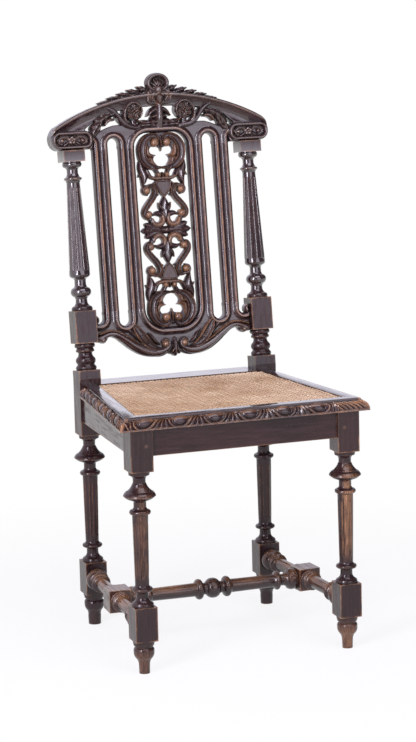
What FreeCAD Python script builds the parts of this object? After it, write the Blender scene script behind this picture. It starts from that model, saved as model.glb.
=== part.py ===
"""Carved side chair with a caned seat, all lengths in millimetres.

X runs to the right as seen from the front, the front faces -Y and the feet stand on Z = 0.
The back is drawn flat in (u, v, t): u across, v up the raked posts from their bend, t towards the front.
"""
import FreeCAD
import Part
import math
import os

SEAT_HEIGHT = 460.0
LEG_BLOCK = 41.0
FRONT_SPACING = 388.0
REAR_SPACING = 348.0
LEG_DEPTH = 352.0
BACK_RAKE = 7.54
BEND_RISE = 10.0
BEND_BLOCK = 15.0

FRAME_THICK = 22.0
FRAME_TOP_WIDTH = 21.4
FRAME_LEDGE = 8.0
FRAME_FRONT_INSET = 8.1
FRAME_SIDE_OVERHANG = 5.0
FRAME_REAR_INSET = 12.04
FRAME_REAR_OVERHANG = 14.5
FRAME_STUB = 12.0
MOULD_OUT = 13.5
CANE_THICK = 2.0
CANE_DROP = 1.0
CANE_CLEARANCE = 0.3

RAIL_DEPTH = 47.0
RAIL_THICK = 22.0
RAIL_SETBACK = 5.0
TENON_THICK = 10.0
TENON_SETBACK = 6.0
RAIL_TENON_FRONT = 28.0
RAIL_TENON_SIDE = 18.0
TENON_MARGIN = 4.0
PEG_RADIUS = 3.0
PEG_LENGTH = 25.0
PEG_INSET = 8.0

SEAT_BLOCK = 74.0
FOOT_LENGTH = 60.0
STRETCHER_BLOCK = 62.0
FRONT_FOOT_RADIUS = 9.4
REAR_FOOT_RADIUS = 11.6
LEG_FLUTES = 6
COLUMN_FLUTES = 12
STRETCHER_TENON_RADIUS = 8.0
STRETCHER_TENON = 15.0
SIDE_BLOCK_HALF = 22.0

SLAT_BOTTOM = 108.0
SLAT_LENGTH = 320.0
SLAT_HALF = 15.0
INNER_SLAT = 67.5
OUTER_SLAT = 119.0
ARCH_RISE = 19.0
ARCH_DROP = 26.0
POST_BLOCK_DROP = 43.0
POST_BLOCK_RISE = 17.5
POST_CAP = 21.0
POST_TENON = 16.0
POST_TENON_RADIUS = 11.0
CREST_RADIUS = 412.0
CREST_HEIGHT = 92.0
CREST_DROP = 6.0
CREST_BAND = 23.0
BOSS_RADIUS = 20.5
BOSS_RISE = 19.0
LEAF_TEETH = 6
LEAF_HEIGHT = 13.0
LEAF_END = 118.0
BACK_TENON = 10.0
PLATE_FRONT = 12.0
PLATE_BACK = -9.0
CREST_FRONT = 19.0
CARVED_RISE = 3.0
SPLAT_FRONT = 8.0
SPLAT_BACK = -5.0

CORNER_REACH = 56.0
CORNER_RISE = 6.0
SCREW_RADIUS = 2.0
SCREW_HEAD_RADIUS = 4.0
SCREW_HEAD = 2.5
SCREW_DEPTH = 18.0
SCREW_LENGTH = 32.0
FRAME_SCREW_BITE = 13.0
DOWEL_RADIUS = 4.0
DOWEL_LENGTH = 36.0

UP = FreeCAD.Vector(0, 0, 1)
half_block = LEG_BLOCK / 2
rake = math.radians(BACK_RAKE)
front_y = -LEG_DEPTH / 2
rear_y = LEG_DEPTH / 2
front_x = FRONT_SPACING / 2
rear_x = REAR_SPACING / 2
leg_back = front_y + half_block
leg_inside = front_x - half_block
post_front = rear_y - half_block
post_inside = rear_x - half_block
seat_bottom = SEAT_HEIGHT - FRAME_THICK
ledge_height = SEAT_HEIGHT - CANE_THICK - CANE_DROP
bend_height = SEAT_HEIGHT + BEND_RISE
rail_bottom = seat_bottom - RAIL_DEPTH
capital_top = seat_bottom - SEAT_BLOCK
block_top = FOOT_LENGTH + STRETCHER_BLOCK
stretcher_height = FOOT_LENGTH + STRETCHER_BLOCK / 2
slat_top = SLAT_BOTTOM + SLAT_LENGTH
splat_bottom = SLAT_BOTTOM - ARCH_DROP
splat_top = slat_top + ARCH_RISE
crest_foot = slat_top - CREST_DROP
frame_front_y = front_y - half_block + FRAME_FRONT_INSET
frame_front_half = front_x + half_block + FRAME_SIDE_OVERHANG
frame_rear_half = rear_x + half_block - FRAME_REAR_INSET
frame_slope = (frame_front_half - frame_rear_half) / (post_front - frame_front_y)
parts = {}


def vec(x, y, z=0.0):
    return FreeCAD.Vector(x, y, z)


def path_face(start, *steps):
    """A face in XY: each step is a point, an arc (middle, end) or a curve through a list of points."""
    edges = []
    here = start
    for step in list(steps) + [start]:
        if isinstance(step, list):
            curve = Part.BSplineCurve()
            curve.interpolate([vec(*p) for p in [here] + step])
            edges.append(curve.toShape())
            here = step[-1]
        elif isinstance(step[0], tuple):
            edges.append(Part.Arc(vec(*here), vec(*step[0]), vec(*step[1])).toShape())
            here = step[1]
        elif step != here:
            edges.append(Part.makeLine(vec(*here), vec(*step)))
            here = step
    return Part.Face(Part.Wire(edges))


def slab(face, low, high):
    """A flat face of the XY plane drawn out from one height to another."""
    solid = face.extrude(UP * (high - low))
    solid.translate(UP * low)
    return solid


def loop(points):
    """A face inside one smooth closed curve."""
    curve = Part.BSplineCurve()
    curve.interpolate([vec(*p) for p in points], PeriodicFlag=True)
    return Part.Face(Part.Wire([curve.toShape()]))


def lens(a, middle, b, middle_back):
    """A face between two arcs that share their ends."""
    return path_face(a, (middle, b), (middle_back, a))


def mirror(shape):
    return shape.mirror(vec(0, 0, 0), vec(1, 0, 0))


def both_sides(shape):
    """A right half joined to its mirror image."""
    return shape.fuse(mirror(shape)).removeSplitter()


def turned(rows):
    """A turning about Z: rows of (height, radius) or (height, radius, bulge of the arc that leads there)."""
    edges = [Part.makeLine(vec(0, 0, rows[0][0]), vec(rows[0][1], 0, rows[0][0]))]
    for before, row in zip(rows, rows[1:]):
        a = vec(before[1], 0, before[0])
        b = vec(row[1], 0, row[0])
        if len(row) == 2:
            edges.append(Part.makeLine(a, b))
        else:
            run = b - a
            out = vec(run.z, 0, -run.x).normalize()
            edges.append(Part.Arc(a, (a + b) * 0.5 + out * row[2], b).toShape())
    edges.append(Part.makeLine(vec(rows[-1][1], 0, rows[-1][0]), vec(0, 0, rows[-1][0])))
    edges.append(Part.makeLine(vec(0, 0, rows[-1][0]), vec(0, 0, rows[0][0])))
    return Part.Face(Part.Wire(edges)).revolve(vec(0, 0, 0), UP, 360)


def from_line(height, rows):
    """Turning rows measured from a height."""
    return [(height + row[0],) + tuple(row[1:]) for row in rows]


def flutes(count, low, high, cut_low, cut_high, depth):
    """Round-ended hollows in a tapering shaft; low and high are (height, radius)."""
    cutters = []
    for i in range(count):
        angle = 2 * math.pi * (i + 0.75) / count
        side = vec(math.cos(angle), math.sin(angle))
        a = side * (low[1] + cut_low - depth) + UP * low[0]
        b = side * (high[1] + cut_high - depth) + UP * high[0]
        if abs(cut_low - cut_high) < 0.01:
            hollow = Part.makeCylinder(cut_low, (b - a).Length, a, b - a)
        else:
            hollow = Part.makeCone(cut_low, cut_high, (b - a).Length, a, b - a)
        cutters.append(hollow.multiFuse([Part.makeSphere(cut_low, a), Part.makeSphere(cut_high, b)]))
    return cutters


def square(half, low, high):
    return Part.makeBox(2 * half, 2 * half, high - low, vec(-half, -half, low))


def moved(shape, x=0.0, y=0.0, z=0.0):
    copy = shape.copy()
    copy.translate(vec(x, y, z))
    return copy


def to_back(shape):
    """Stand a shape drawn in (u, v, t) on the raked line of the back."""
    copy = shape.copy()
    copy.rotate(vec(0, 0, 0), vec(1, 0, 0), 90 - BACK_RAKE)
    copy.translate(vec(0, rear_y, bend_height))
    return copy


def lower_turning(foot_radius):
    """Foot, stretcher block, fluted shaft and capital, up to the seat block."""
    foot = turned([(0, foot_radius)] + from_line(FOOT_LENGTH, [
        (-44, foot_radius + 0.6), (-33, 14.0, -1.0), (-20, 18.4, 1.6), (-12.5, 15.6, 1.4), (-10, 15.6), (-9, 18.2),
        (-3, 19.6), (2, 19.6)]))
    shaft = turned(from_line(block_top, [
        (-2, 18.8), (6, 18.4, 1.2), (15, 11.0, -1.4), (24, 10.8), (26.5, 15.5, -1.0), (33.5, 16.0, 3.0),
        (38, 12.4, -0.8)]) + from_line(capital_top, [
            (-78, 14.2), (-77, 17.0), (-70, 17.4, 1.9), (-64, 11.2, -1.4), (-55, 11.2), (-51.5, 17.5, -1.2),
            (-44, 29.0, 0.9), (-35.5, 21.2, 1.4), (-34.5, 20.4), (-23, 12.6, -0.9), (-21, 11.3), (-14, 11.3),
            (-7, 18.4, -1.5), (2, 19.6)]))
    shaft = shaft.cut(flutes(LEG_FLUTES, (block_top + 52, 12.5), (capital_top - 92, 14.0), 2.6, 2.6, 2.0))
    return foot.multiFuse([square(half_block, FOOT_LENGTH, block_top), shaft])


def upper_turning():
    """The raked half of a rear post, drawn straight up from the bend."""
    block_low = SLAT_BOTTOM - POST_BLOCK_DROP
    block_high = SLAT_BOTTOM + POST_BLOCK_RISE
    cap_low = crest_foot - POST_CAP
    lower = turned(from_line(BEND_BLOCK, [
        (-2, 18.2), (1, 18.2), (8, 17.4, 1.6), (10.5, 15.8), (12, 16.4), (24, 15.6, 2.6)]) + from_line(block_low, [
            (-19, 12.9, -0.8), (-16, 16.6, -0.8), (-12, 16.6, 0.8), (-9, 15.2), (-8, 17.6), (-1, 17.6, 1.6),
            (2, 17.6)]))
    upper = turned(from_line(block_high, [
        (-1.5, 18.4), (7.5, 17.8, 1.6), (14.5, 11.2, -1.2), (21.5, 10.8), (25.5, 13.0), (43.5, 13.0, 6.3),
        (47.5, 11.0, -0.4), (55.5, 10.8), (60.5, 14.0, -1.0), (66.5, 19.6, 1.2)]) + from_line(cap_low, [
            (-39, 12.4), (-37, 13.2), (-34, 15.2, -0.4), (-29, 15.2, 1.8), (-25, 11.6, -0.5), (-22, 10.6),
            (-15, 10.6), (-10, 16.0, -1.0), (-1, 17.0, 1.8), (2, 17.0)]))
    upper = upper.cut(flutes(COLUMN_FLUTES, (block_high + 75.5, 19.3), (cap_low - 49, 12.9), 2.2, 1.5, 1.2))
    tenon = Part.makeCylinder(POST_TENON_RADIUS, POST_TENON, vec(0, 0, crest_foot))
    return lower.multiFuse([
        square(half_block, block_low, block_high), upper, square(half_block, cap_low, crest_foot), tenon])


def seat_block():
    """The bent square block of a rear post, from the leg turning to just above the bend."""
    lift = half_block * math.tan(rake / 2)
    top = vec(0, math.sin(rake) * BEND_BLOCK, bend_height + math.cos(rake) * BEND_BLOCK)
    across = vec(0, math.cos(rake), -math.sin(rake)) * half_block
    corners = [
        vec(0, -half_block, capital_top), vec(0, -half_block, bend_height + lift), top - across, top + across,
        vec(0, half_block, bend_height - lift), vec(0, half_block, capital_top)]
    face = Part.Face(Part.makePolygon(corners + corners[:1]))
    block = face.extrude(vec(LEG_BLOCK, 0, 0))
    block.translate(vec(-half_block, 0, 0))
    return block


def leg_line(y):
    """Distance of the side's centre line from the middle of the chair."""
    return front_x + (rear_x - front_x) * (y - front_y) / LEG_DEPTH


def rail_side(y, inset):
    """Half-width at a distance inside the outer faces of the legs."""
    return leg_line(y) + half_block - inset


def side_rail_shape(inset, thick, low, high, beyond):
    """A right-hand side rail or its tenons in plan, drawn out over a height range."""
    a = leg_back - beyond
    b = post_front + beyond
    corners = [
        (rail_side(a, inset), a), (rail_side(b, inset), b),
        (rail_side(b, inset + thick), b), (rail_side(a, inset + thick), a)]
    return slab(path_face(*corners), low, high)


def cross_rail(spacing, outer_y, inward):
    """A front or rear rail: body between the legs and one long tenon through both ends."""
    clear = spacing / 2 - half_block
    rail_y = min(outer_y, outer_y + inward * RAIL_THICK)
    tenon_y = min(outer_y + inward * TENON_SETBACK, outer_y + inward * (TENON_SETBACK + TENON_THICK))
    reach = clear + RAIL_TENON_FRONT
    body = Part.makeBox(2 * clear, RAIL_THICK, RAIL_DEPTH, vec(-clear, rail_y, rail_bottom))
    tenon = Part.makeBox(2 * reach, TENON_THICK, tenon_high - tenon_low, vec(-reach, tenon_y, tenon_low))
    return body, tenon


def frame_side(y, offset):
    """Half-width of the seat frame at an offset inside its top edge."""
    return frame_front_half - frame_slope * (y - frame_front_y) - offset * math.sqrt(1 + frame_slope ** 2)


def frame_corner(offset):
    """Front right corner of the seat frame at an offset inside its top edge."""
    y = frame_front_y + offset
    return (frame_side(y, offset), y)


def member(origin, along, length):
    """The moulded seat section drawn out along a straight line of its top edge, its outside on the right."""
    inner_x = -FRAME_TOP_WIDTH
    section = path_face(
        (MOULD_OUT, seat_bottom), (MOULD_OUT, seat_bottom + 6), (MOULD_OUT - 1.5, seat_bottom + 7),
        ((MOULD_OUT - 4.6, seat_bottom + 15.2), (2.0, SEAT_HEIGHT - 2.6)), (1.2, SEAT_HEIGHT - 2.6),
        ((1.0, SEAT_HEIGHT - 0.6), (0, SEAT_HEIGHT)), (inner_x, SEAT_HEIGHT), (inner_x, ledge_height),
        (inner_x - FRAME_LEDGE, ledge_height), (inner_x - FRAME_LEDGE, seat_bottom))
    along = along.normalize()
    outward = along.cross(UP)
    section.Placement = FreeCAD.Placement(FreeCAD.Matrix(
        outward.x, UP.x, -along.x, origin.x, outward.y, UP.y, -along.y, origin.y,
        outward.z, UP.z, -along.z, origin.z, 0, 0, 0, 1))
    return section.extrude(along * length)


def glue_block(rail_y, leg_y, leg_x, inward):
    """A corner block fitted round the inner corner of a leg."""
    far_y = leg_y + inward * CORNER_REACH
    face = path_face(
        (leg_x, rail_y), (leg_x - CORNER_REACH, rail_y), (rail_side(far_y, rail_inset), far_y),
        (rail_side(leg_y, rail_inset), leg_y), (leg_x, leg_y))
    return slab(face, corner_low, seat_bottom)


def screw(start, direction, length):
    """A wood screw: a flat head and a plain shank."""
    head = Part.makeCylinder(SCREW_HEAD_RADIUS, SCREW_HEAD, start, direction)
    shank = Part.makeCylinder(SCREW_RADIUS, length, start, direction)
    return head.fuse(shank).removeSplitter()


def corner_screws(rail_y, leg_y, leg_x, inward, frame_at):
    """Two screws into the rails, one up into the seat frame, and the bores in front of the rail screws' heads."""
    height = (corner_low + seat_bottom) / 2
    far_y = leg_y + inward * CORNER_REACH / 2
    at_rail = vec(leg_x - CORNER_REACH * 0.45, rail_y + inward * SCREW_DEPTH, height - 8)
    at_side = vec(rail_side(far_y, rail_inset) - SCREW_DEPTH, far_y, height + 8)
    into_rail = screw(at_rail, vec(0, -inward, 0), SCREW_LENGTH)
    into_side = screw(at_side, vec(1, 0, 0), SCREW_LENGTH)
    into_frame = screw(vec(frame_at[0], frame_at[1], corner_low), UP, seat_bottom - corner_low + FRAME_SCREW_BITE)
    bores = [
        Part.makeCylinder(SCREW_HEAD_RADIUS, CORNER_REACH, at_rail, vec(0, inward, 0)),
        Part.makeCylinder(SCREW_HEAD_RADIUS, CORNER_REACH, at_side, vec(-1, 0, 0))]
    return [into_rail, into_side], into_frame, bores


def crest_arc(u):
    """Height of the arched top at u above the slat joint."""
    return arc_centre + math.sqrt(CREST_RADIUS ** 2 - u * u)


def pair(name, right):
    parts[name + "_right"] = right
    parts[name + "_left"] = mirror(right)


# Legs and rear posts
front_leg = lower_turning(FRONT_FOOT_RADIUS).fuse(square(half_block, capital_top, seat_bottom))
front_leg = moved(front_leg, front_x, front_y)
raked = upper_turning()
raked.rotate(vec(0, 0, 0), vec(1, 0, 0), -BACK_RAKE)
raked.translate(UP * bend_height)
rear_post = lower_turning(REAR_FOOT_RADIUS).multiFuse([seat_block(), raked])
rear_post = moved(rear_post, rear_x, rear_y)

# Seat rails with their tenons
tenon_low = rail_bottom + TENON_MARGIN
tenon_high = seat_bottom - TENON_MARGIN
front_outer = front_y - half_block + RAIL_SETBACK
rear_outer = rear_y + half_block - RAIL_SETBACK
front_rail_body, front_tenon = cross_rail(FRONT_SPACING, front_outer, 1)
rear_rail_body, rear_tenon = cross_rail(REAR_SPACING, rear_outer, -1)
front_rail = front_rail_body.fuse(front_tenon).removeSplitter()
rear_rail = rear_rail_body.fuse(rear_tenon).removeSplitter()
side_body = side_rail_shape(RAIL_SETBACK, RAIL_THICK, rail_bottom, seat_bottom, 0)
side_tenon = side_rail_shape(RAIL_SETBACK + TENON_SETBACK, TENON_THICK, tenon_low, tenon_high, RAIL_TENON_SIDE)
side_rail = side_body.fuse(side_tenon).removeSplitter()

# Pegs that lock the front and rear tenons
peg_height = rail_bottom + RAIL_DEPTH * 0.4
peg_front = Part.makeCylinder(
    PEG_RADIUS, PEG_LENGTH, vec(front_x - PEG_INSET, front_y - half_block, peg_height), vec(0, 1, 0))
peg_rear = Part.makeCylinder(
    PEG_RADIUS, PEG_LENGTH, vec(rear_x - PEG_INSET, rear_y + half_block, peg_height), vec(0, -1, 0))
front_pegs = [peg_front, mirror(peg_front)]
rear_pegs = [peg_rear, mirror(peg_rear)]
front_rail = front_rail.cut(front_pegs)
rear_rail = rear_rail.cut(rear_pegs)

# Stretchers
side_start = vec(leg_line(leg_back), leg_back, stretcher_height)
side_end = vec(leg_line(post_front), post_front, stretcher_height)
side_run = side_end - side_start
side_middle = (side_start + side_end) * 0.5
side_half = side_run.Length / 2
half_turning = turned(from_line(SIDE_BLOCK_HALF, [
    (-2, 17.4), (2, 17.4, 1.4), (5, 13.0, -0.6), (10, 16.6, -0.8), (14, 16.6, 1.2), (18, 12.2, -0.6)])
    + from_line(side_half, [
        (-44, 11.6), (-41, 16.2, -0.5), (-35, 16.2, 1.8), (-31, 11.6, -0.6), (-26, 11.6), (-19, 19.0, -1.5),
        (-4, 19.8, 1.6), (0, 18.6), (0, STRETCHER_TENON_RADIUS), (STRETCHER_TENON, STRETCHER_TENON_RADIUS)]))
other_half = half_turning.mirror(vec(0, 0, 0), UP)
side_stretcher = square(half_block, -SIDE_BLOCK_HALF, SIDE_BLOCK_HALF).multiFuse([half_turning, other_half])
side_stretcher.rotate(vec(0, 0, 0), vec(1, 0, 0), -90)
side_stretcher.rotate(vec(0, 0, 0), UP, math.degrees(math.atan2(-side_run.x, side_run.y)))
side_stretcher.translate(side_middle)

cross_half = side_middle.x - half_block
cross_side = turned([
    (0, 18.6), (13, 11.4, 2.2), (18, 10.6), (21, 14.6, -0.6), (33, 15.0, 4.4), (37, 12.6, -0.5)]
    + from_line(cross_half, [
        (-44, 11.8), (-41, 14.0), (-33, 14.0, 3.8), (-30, 11.0, -0.4), (-24, 11.0), (-16, 17.6, -1.4),
        (-3, 19.0, 1.4), (0, 18.4), (0, STRETCHER_TENON_RADIUS), (STRETCHER_TENON, STRETCHER_TENON_RADIUS)]))
cross_stretcher = cross_side.fuse(cross_side.mirror(vec(0, 0, 0), UP)).removeSplitter()
cross_stretcher.rotate(vec(0, 0, 0), vec(0, 1, 0), 90)
cross_stretcher.translate(vec(0, side_middle.y, stretcher_height))
side_stretcher_left = mirror(side_stretcher).cut(cross_stretcher)
side_stretcher = side_stretcher.cut(cross_stretcher)

# Moulded seat frame, mitred at the front corners and housed in the rear posts
outer = frame_corner(-MOULD_OUT)
inner = frame_corner(FRAME_TOP_WIDTH + FRAME_LEDGE)
reach = outer[0] + LEG_DEPTH
front_region = slab(path_face((-outer[0], outer[1]), outer, inner, (-inner[0], inner[1])), 0, SEAT_HEIGHT)
side_region = slab(
    path_face(inner, outer, (outer[0], post_front), (post_inside, post_front)), 0, SEAT_HEIGHT)
front_member = member(vec(-reach, frame_front_y, 0), vec(1, 0, 0), 2 * reach).common(front_region)
side_from = vec(frame_side(-reach, 0), -reach, 0)
side_member = member(side_from, vec(-frame_slope, 1, 0), 2 * reach).common(side_region)

stub_low = seat_bottom + 5
stub_high = SEAT_HEIGHT - 7
stub_x = frame_side(post_front, FRAME_TOP_WIDTH / 2)
side_stub = Part.makeBox(
    12, FRAME_STUB + 10, stub_high - stub_low, vec(stub_x - 6, post_front - 10, stub_low))
side_member = side_member.fuse(side_stub).removeSplitter()
frame_rear_y = rear_y + half_block + FRAME_REAR_OVERHANG
rear_member_y = post_front + CANE_CLEARANCE - FRAME_LEDGE
rear_member = Part.makeBox(
    2 * post_inside, frame_rear_y - rear_member_y, FRAME_THICK, vec(-post_inside, rear_member_y, seat_bottom))
rear_rebate = Part.makeBox(
    2 * post_inside, FRAME_LEDGE, SEAT_HEIGHT - ledge_height, vec(-post_inside, rear_member_y, ledge_height))
rear_member = rear_member.cut(rear_rebate)
rear_edges = [e for e in rear_member.Edges if e.BoundBox.YMin > frame_rear_y - 0.1 and e.Length > post_inside]
rear_member = rear_member.makeFillet(FRAME_THICK / 4.4, rear_edges)
rear_reach = post_inside + FRAME_STUB
rear_stub = Part.makeBox(2 * rear_reach, 14, stub_high - stub_low, vec(-rear_reach, rear_y - 2, stub_low))
rear_member = rear_member.fuse(rear_stub).removeSplitter()

mitre_at = frame_corner(FRAME_TOP_WIDTH / 2)
mitre_run = vec(outer[0] - inner[0], outer[1] - inner[1]).normalize()
mitre_across = vec(-mitre_run.y, mitre_run.x)
dowel_start = vec(mitre_at[0], mitre_at[1], seat_bottom + 2 * DOWEL_RADIUS) - mitre_across * (DOWEL_LENGTH / 2)
dowel = Part.makeCylinder(DOWEL_RADIUS, DOWEL_LENGTH, dowel_start, mitre_across)
mitre_dowels = [dowel, mirror(dowel)]
front_member = front_member.cut(mitre_dowels)
side_member = side_member.cut(dowel)

# Woven cane panel on the ledge of the frame
cane_offset = FRAME_TOP_WIDTH + CANE_CLEARANCE
cane_front = frame_corner(cane_offset)
cane_rear_y = post_front - CANE_CLEARANCE
cane_rear = (frame_side(cane_rear_y, cane_offset), cane_rear_y)
cane = slab(
    path_face((-cane_front[0], cane_front[1]), cane_front, cane_rear, (-cane_rear[0], cane_rear[1])),
    ledge_height, ledge_height + CANE_THICK)

# Corner blocks and screws under the seat
corner_low = rail_bottom + CORNER_RISE
rail_inset = RAIL_SETBACK + RAIL_THICK
rail_back = front_outer + RAIL_THICK
rear_inside = rear_outer - RAIL_THICK
frame_screw_y = (rail_back + inner[1]) / 2
front_fix, front_up, front_bores = corner_screws(
    rail_back, leg_back, leg_inside, 1, (leg_inside - CORNER_REACH * 0.64, frame_screw_y))
rear_fix, rear_up, rear_bores = corner_screws(
    rear_inside, post_front, post_inside, -1, (post_inside - CORNER_REACH * 0.22, post_front + 5))
corner_front = glue_block(rail_back, leg_back, leg_inside, 1).cut(front_fix + [front_up] + front_bores)
corner_rear = glue_block(rear_inside, post_front, post_inside, -1).cut(rear_fix + [rear_up] + rear_bores)
rail_screws = [s for one in front_fix + rear_fix for s in (one, mirror(one))]
frame_screws = [s for one in (front_up, rear_up) for s in (one, mirror(one))]
front_rail = front_rail.cut(rail_screws)
rear_rail = rear_rail.cut(rail_screws)
side_rail = side_rail.cut(front_fix + rear_fix)
front_member = front_member.cut(frame_screws)
rear_member = rear_member.cut(frame_screws)

# Lower back rail, drawn from the lower ends of the slats
inner_slat_a = INNER_SLAT - SLAT_HALF
inner_slat_b = INNER_SLAT + SLAT_HALF
outer_slat_a = OUTER_SLAT - SLAT_HALF
outer_slat_b = OUTER_SLAT + SLAT_HALF
slat_gap = outer_slat_a - inner_slat_b
post_gap = post_inside - outer_slat_b
lower_edge = [
    (post_inside - 14.5, -46.5), (post_inside - 22, -42), (post_inside - 26.5, -36), (115, -35.5), (100, -45),
    (80, -61), (60, -74), (40, -79.5), (25, -79.5), (11, -73.5)]
lower_half = path_face(
    (0, -ARCH_DROP), (16, -ARCH_DROP), [(35, 4 - ARCH_DROP), (45, -15.5), (inner_slat_a, 0)], (inner_slat_b, 0),
    [(inner_slat_b + slat_gap * 0.1, -10), (inner_slat_b + slat_gap * 0.49, -16),
     (outer_slat_a - slat_gap * 0.1, -10), (outer_slat_a, 0)], (outer_slat_b, 0),
    [(outer_slat_b + post_gap * 0.1, -6), (outer_slat_b + post_gap * 0.36, -9),
     (outer_slat_b + post_gap * 0.67, -6), (post_inside, 3)],
    (post_inside, -42), (post_inside - 6.5, -44), lower_edge, [(6, -77), (0, -78.5)])
lower_rail = both_sides(slab(lower_half, PLATE_BACK, PLATE_FRONT))
carved_region = path_face(
    (0, -70), (18, -66), [(30, -58), (60, -46), (100, -31), (122, -24), (post_inside - 13.5, -32)],
    (post_inside - 6.5, -38), (post_inside - 6.5, -110), (0, -110))
carved_edge = slab(lower_half, PLATE_FRONT, PLATE_FRONT + CARVED_RISE).common(slab(carved_region, 0, 40))
lower_rail = lower_rail.fuse(both_sides(carved_edge))
lower_tenon = Part.makeBox(18, 24, TENON_THICK, vec(post_inside, -32, -4))
lower_rail = moved(lower_rail.multiFuse([lower_tenon, mirror(lower_tenon)]), 0, SLAT_BOTTOM)
lower_tenon.translate(vec(0, SLAT_BOTTOM))

# Crest rail, drawn from the upper ends of the slats: pierced plate, coved band, lozenge ends and rosettes
arc_centre = CREST_HEIGHT - CREST_RADIUS
end_inside = outer_slat_b
end_round = [
    (rear_x + 35, 1), (rear_x + 39.5, 15), (rear_x + 37.5, 25), (rear_x + 31, 35),
    (rear_x + 21, crest_arc(rear_x + 21))]
crest_half = path_face(
    (0, ARCH_RISE), (25, ARCH_RISE), ((45.5, ARCH_RISE - 6), (inner_slat_a, 0)), (inner_slat_b, 0),
    ((inner_slat_b + slat_gap / 2, 12), (outer_slat_a, 0)), (outer_slat_b, 0), (end_inside, -CREST_DROP),
    (rear_x + 26, -CREST_DROP), end_round, ((100, crest_arc(100)), (0, CREST_HEIGHT)))
crest = slab(crest_half, PLATE_BACK, PLATE_FRONT - 2)
piercings = [
    ((9, 55), (21, 52), (28, 65), (16, 66)), ((10, 44), (23, 39), (36, 43), (23, 50)),
    ((51, 35), (66, 38), (71, 52), (62, 42.5)), ((80, 51), (86, 48), (92, 53), (86, 56)),
    ((75, 39), (98, 36), (117, 29), (99, 42)), ((129, 33), (137, 31.5), (145, 35), (137, 38))]
crest = crest.cut([slab(lens(*p), PLATE_BACK - 1, PLATE_FRONT) for p in piercings])
band = path_face(
    (CREST_RADIUS - CREST_BAND, PLATE_BACK - 3), (CREST_RADIUS, PLATE_BACK - 3), (CREST_RADIUS, CREST_FRONT - 3),
    ((CREST_RADIUS - 3, CREST_FRONT), (CREST_RADIUS - 6, CREST_FRONT - 3)),
    ((CREST_RADIUS - CREST_BAND + 8, CREST_FRONT - 7), (CREST_RADIUS - CREST_BAND, PLATE_FRONT - 2)))
band.Placement = FreeCAD.Placement(FreeCAD.Matrix(0, 0, 1, 0, 1, 0, 0, arc_centre, 0, 1, 0, 0, 0, 0, 0, 1))
band_angle = math.degrees(math.asin((rear_x + 22) / CREST_RADIUS))
band = band.revolve(vec(0, arc_centre, 0), UP, -band_angle)
end_block = slab(
    path_face((end_inside, -CREST_DROP), (rear_x + 26, -CREST_DROP), end_round,
              ((rear_x - 2, 45), (rear_x - 24, 34)), [(rear_x - 36, 27), (end_inside, 12)]),
    -CREST_FRONT, CREST_FRONT - 1)
lozenge = slab(
    path_face((rear_x - 22, -0.5), (rear_x + 18, -0.5), ((rear_x + 31, 13), (rear_x + 18, 26.5)),
              (rear_x - 22, 26.5), ((rear_x - 35, 13), (rear_x - 22, -0.5))),
    CREST_FRONT - 3, CREST_FRONT)
rosette = turned([(0, 18.5), (PLATE_FRONT - 1, 18.5), (PLATE_FRONT, 13.0, 3.2), (PLATE_FRONT + 4, 3.5, 1.2)])
rosette.translate(vec(50, 60, 0))
crest = both_sides(crest.multiFuse([band, end_block.cut(lozenge), rosette]))
post_tenon = Part.makeCylinder(POST_TENON_RADIUS, POST_TENON, vec(rear_x, -CREST_DROP, 0), vec(0, 1, 0))
crest = crest.cut([post_tenon, mirror(post_tenon)])

# Carved boss and leaf strips that stand on the crest
boss_height = CREST_HEIGHT + BOSS_RISE
boss = turned([
    (-8, BOSS_RADIUS), (13, BOSS_RADIUS), (16, BOSS_RADIUS - 3, 0.8), (13, BOSS_RADIUS - 6.5, 0.8),
    (13, 10.0), (17, 3.5, 0.8)])
boss.translate(vec(0, boss_height, 0))
boss_dowel = Part.makeCylinder(5, 22, vec(0, boss_height - 17, 1), vec(0, -1, 0))
boss = boss.fuse(boss_dowel)
boss_room = Part.makeCylinder(BOSS_RADIUS, 60, vec(0, boss_height, -30))
leaf_start = BOSS_RADIUS + 3.5
leaf_pitch = (LEAF_END - leaf_start) / LEAF_TEETH
leaf_line = []
for tooth in range(LEAF_TEETH):
    height = LEAF_HEIGHT * (1 - 0.6 * tooth / LEAF_TEETH)
    tip_u = leaf_start + leaf_pitch * (tooth + 0.55)
    root_u = leaf_start + leaf_pitch * (tooth + 0.65)
    leaf_line += [(tip_u, crest_arc(tip_u) + height), (root_u, crest_arc(root_u) + height * 0.72)]
leaf_face = path_face(
    (leaf_start, crest_arc(leaf_start)), (BOSS_RADIUS, boss_height - 9), *leaf_line, (LEAF_END, crest_arc(LEAF_END)),
    ((70, crest_arc(70)), (leaf_start, crest_arc(leaf_start))))
leaf = slab(leaf_face, -7, 11).cut(boss_room)
crest = crest.cut([boss_room, boss_dowel])
crest = moved(crest, 0, slat_top)
boss = moved(boss, 0, slat_top)
leaf = moved(leaf, 0, slat_top)

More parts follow.
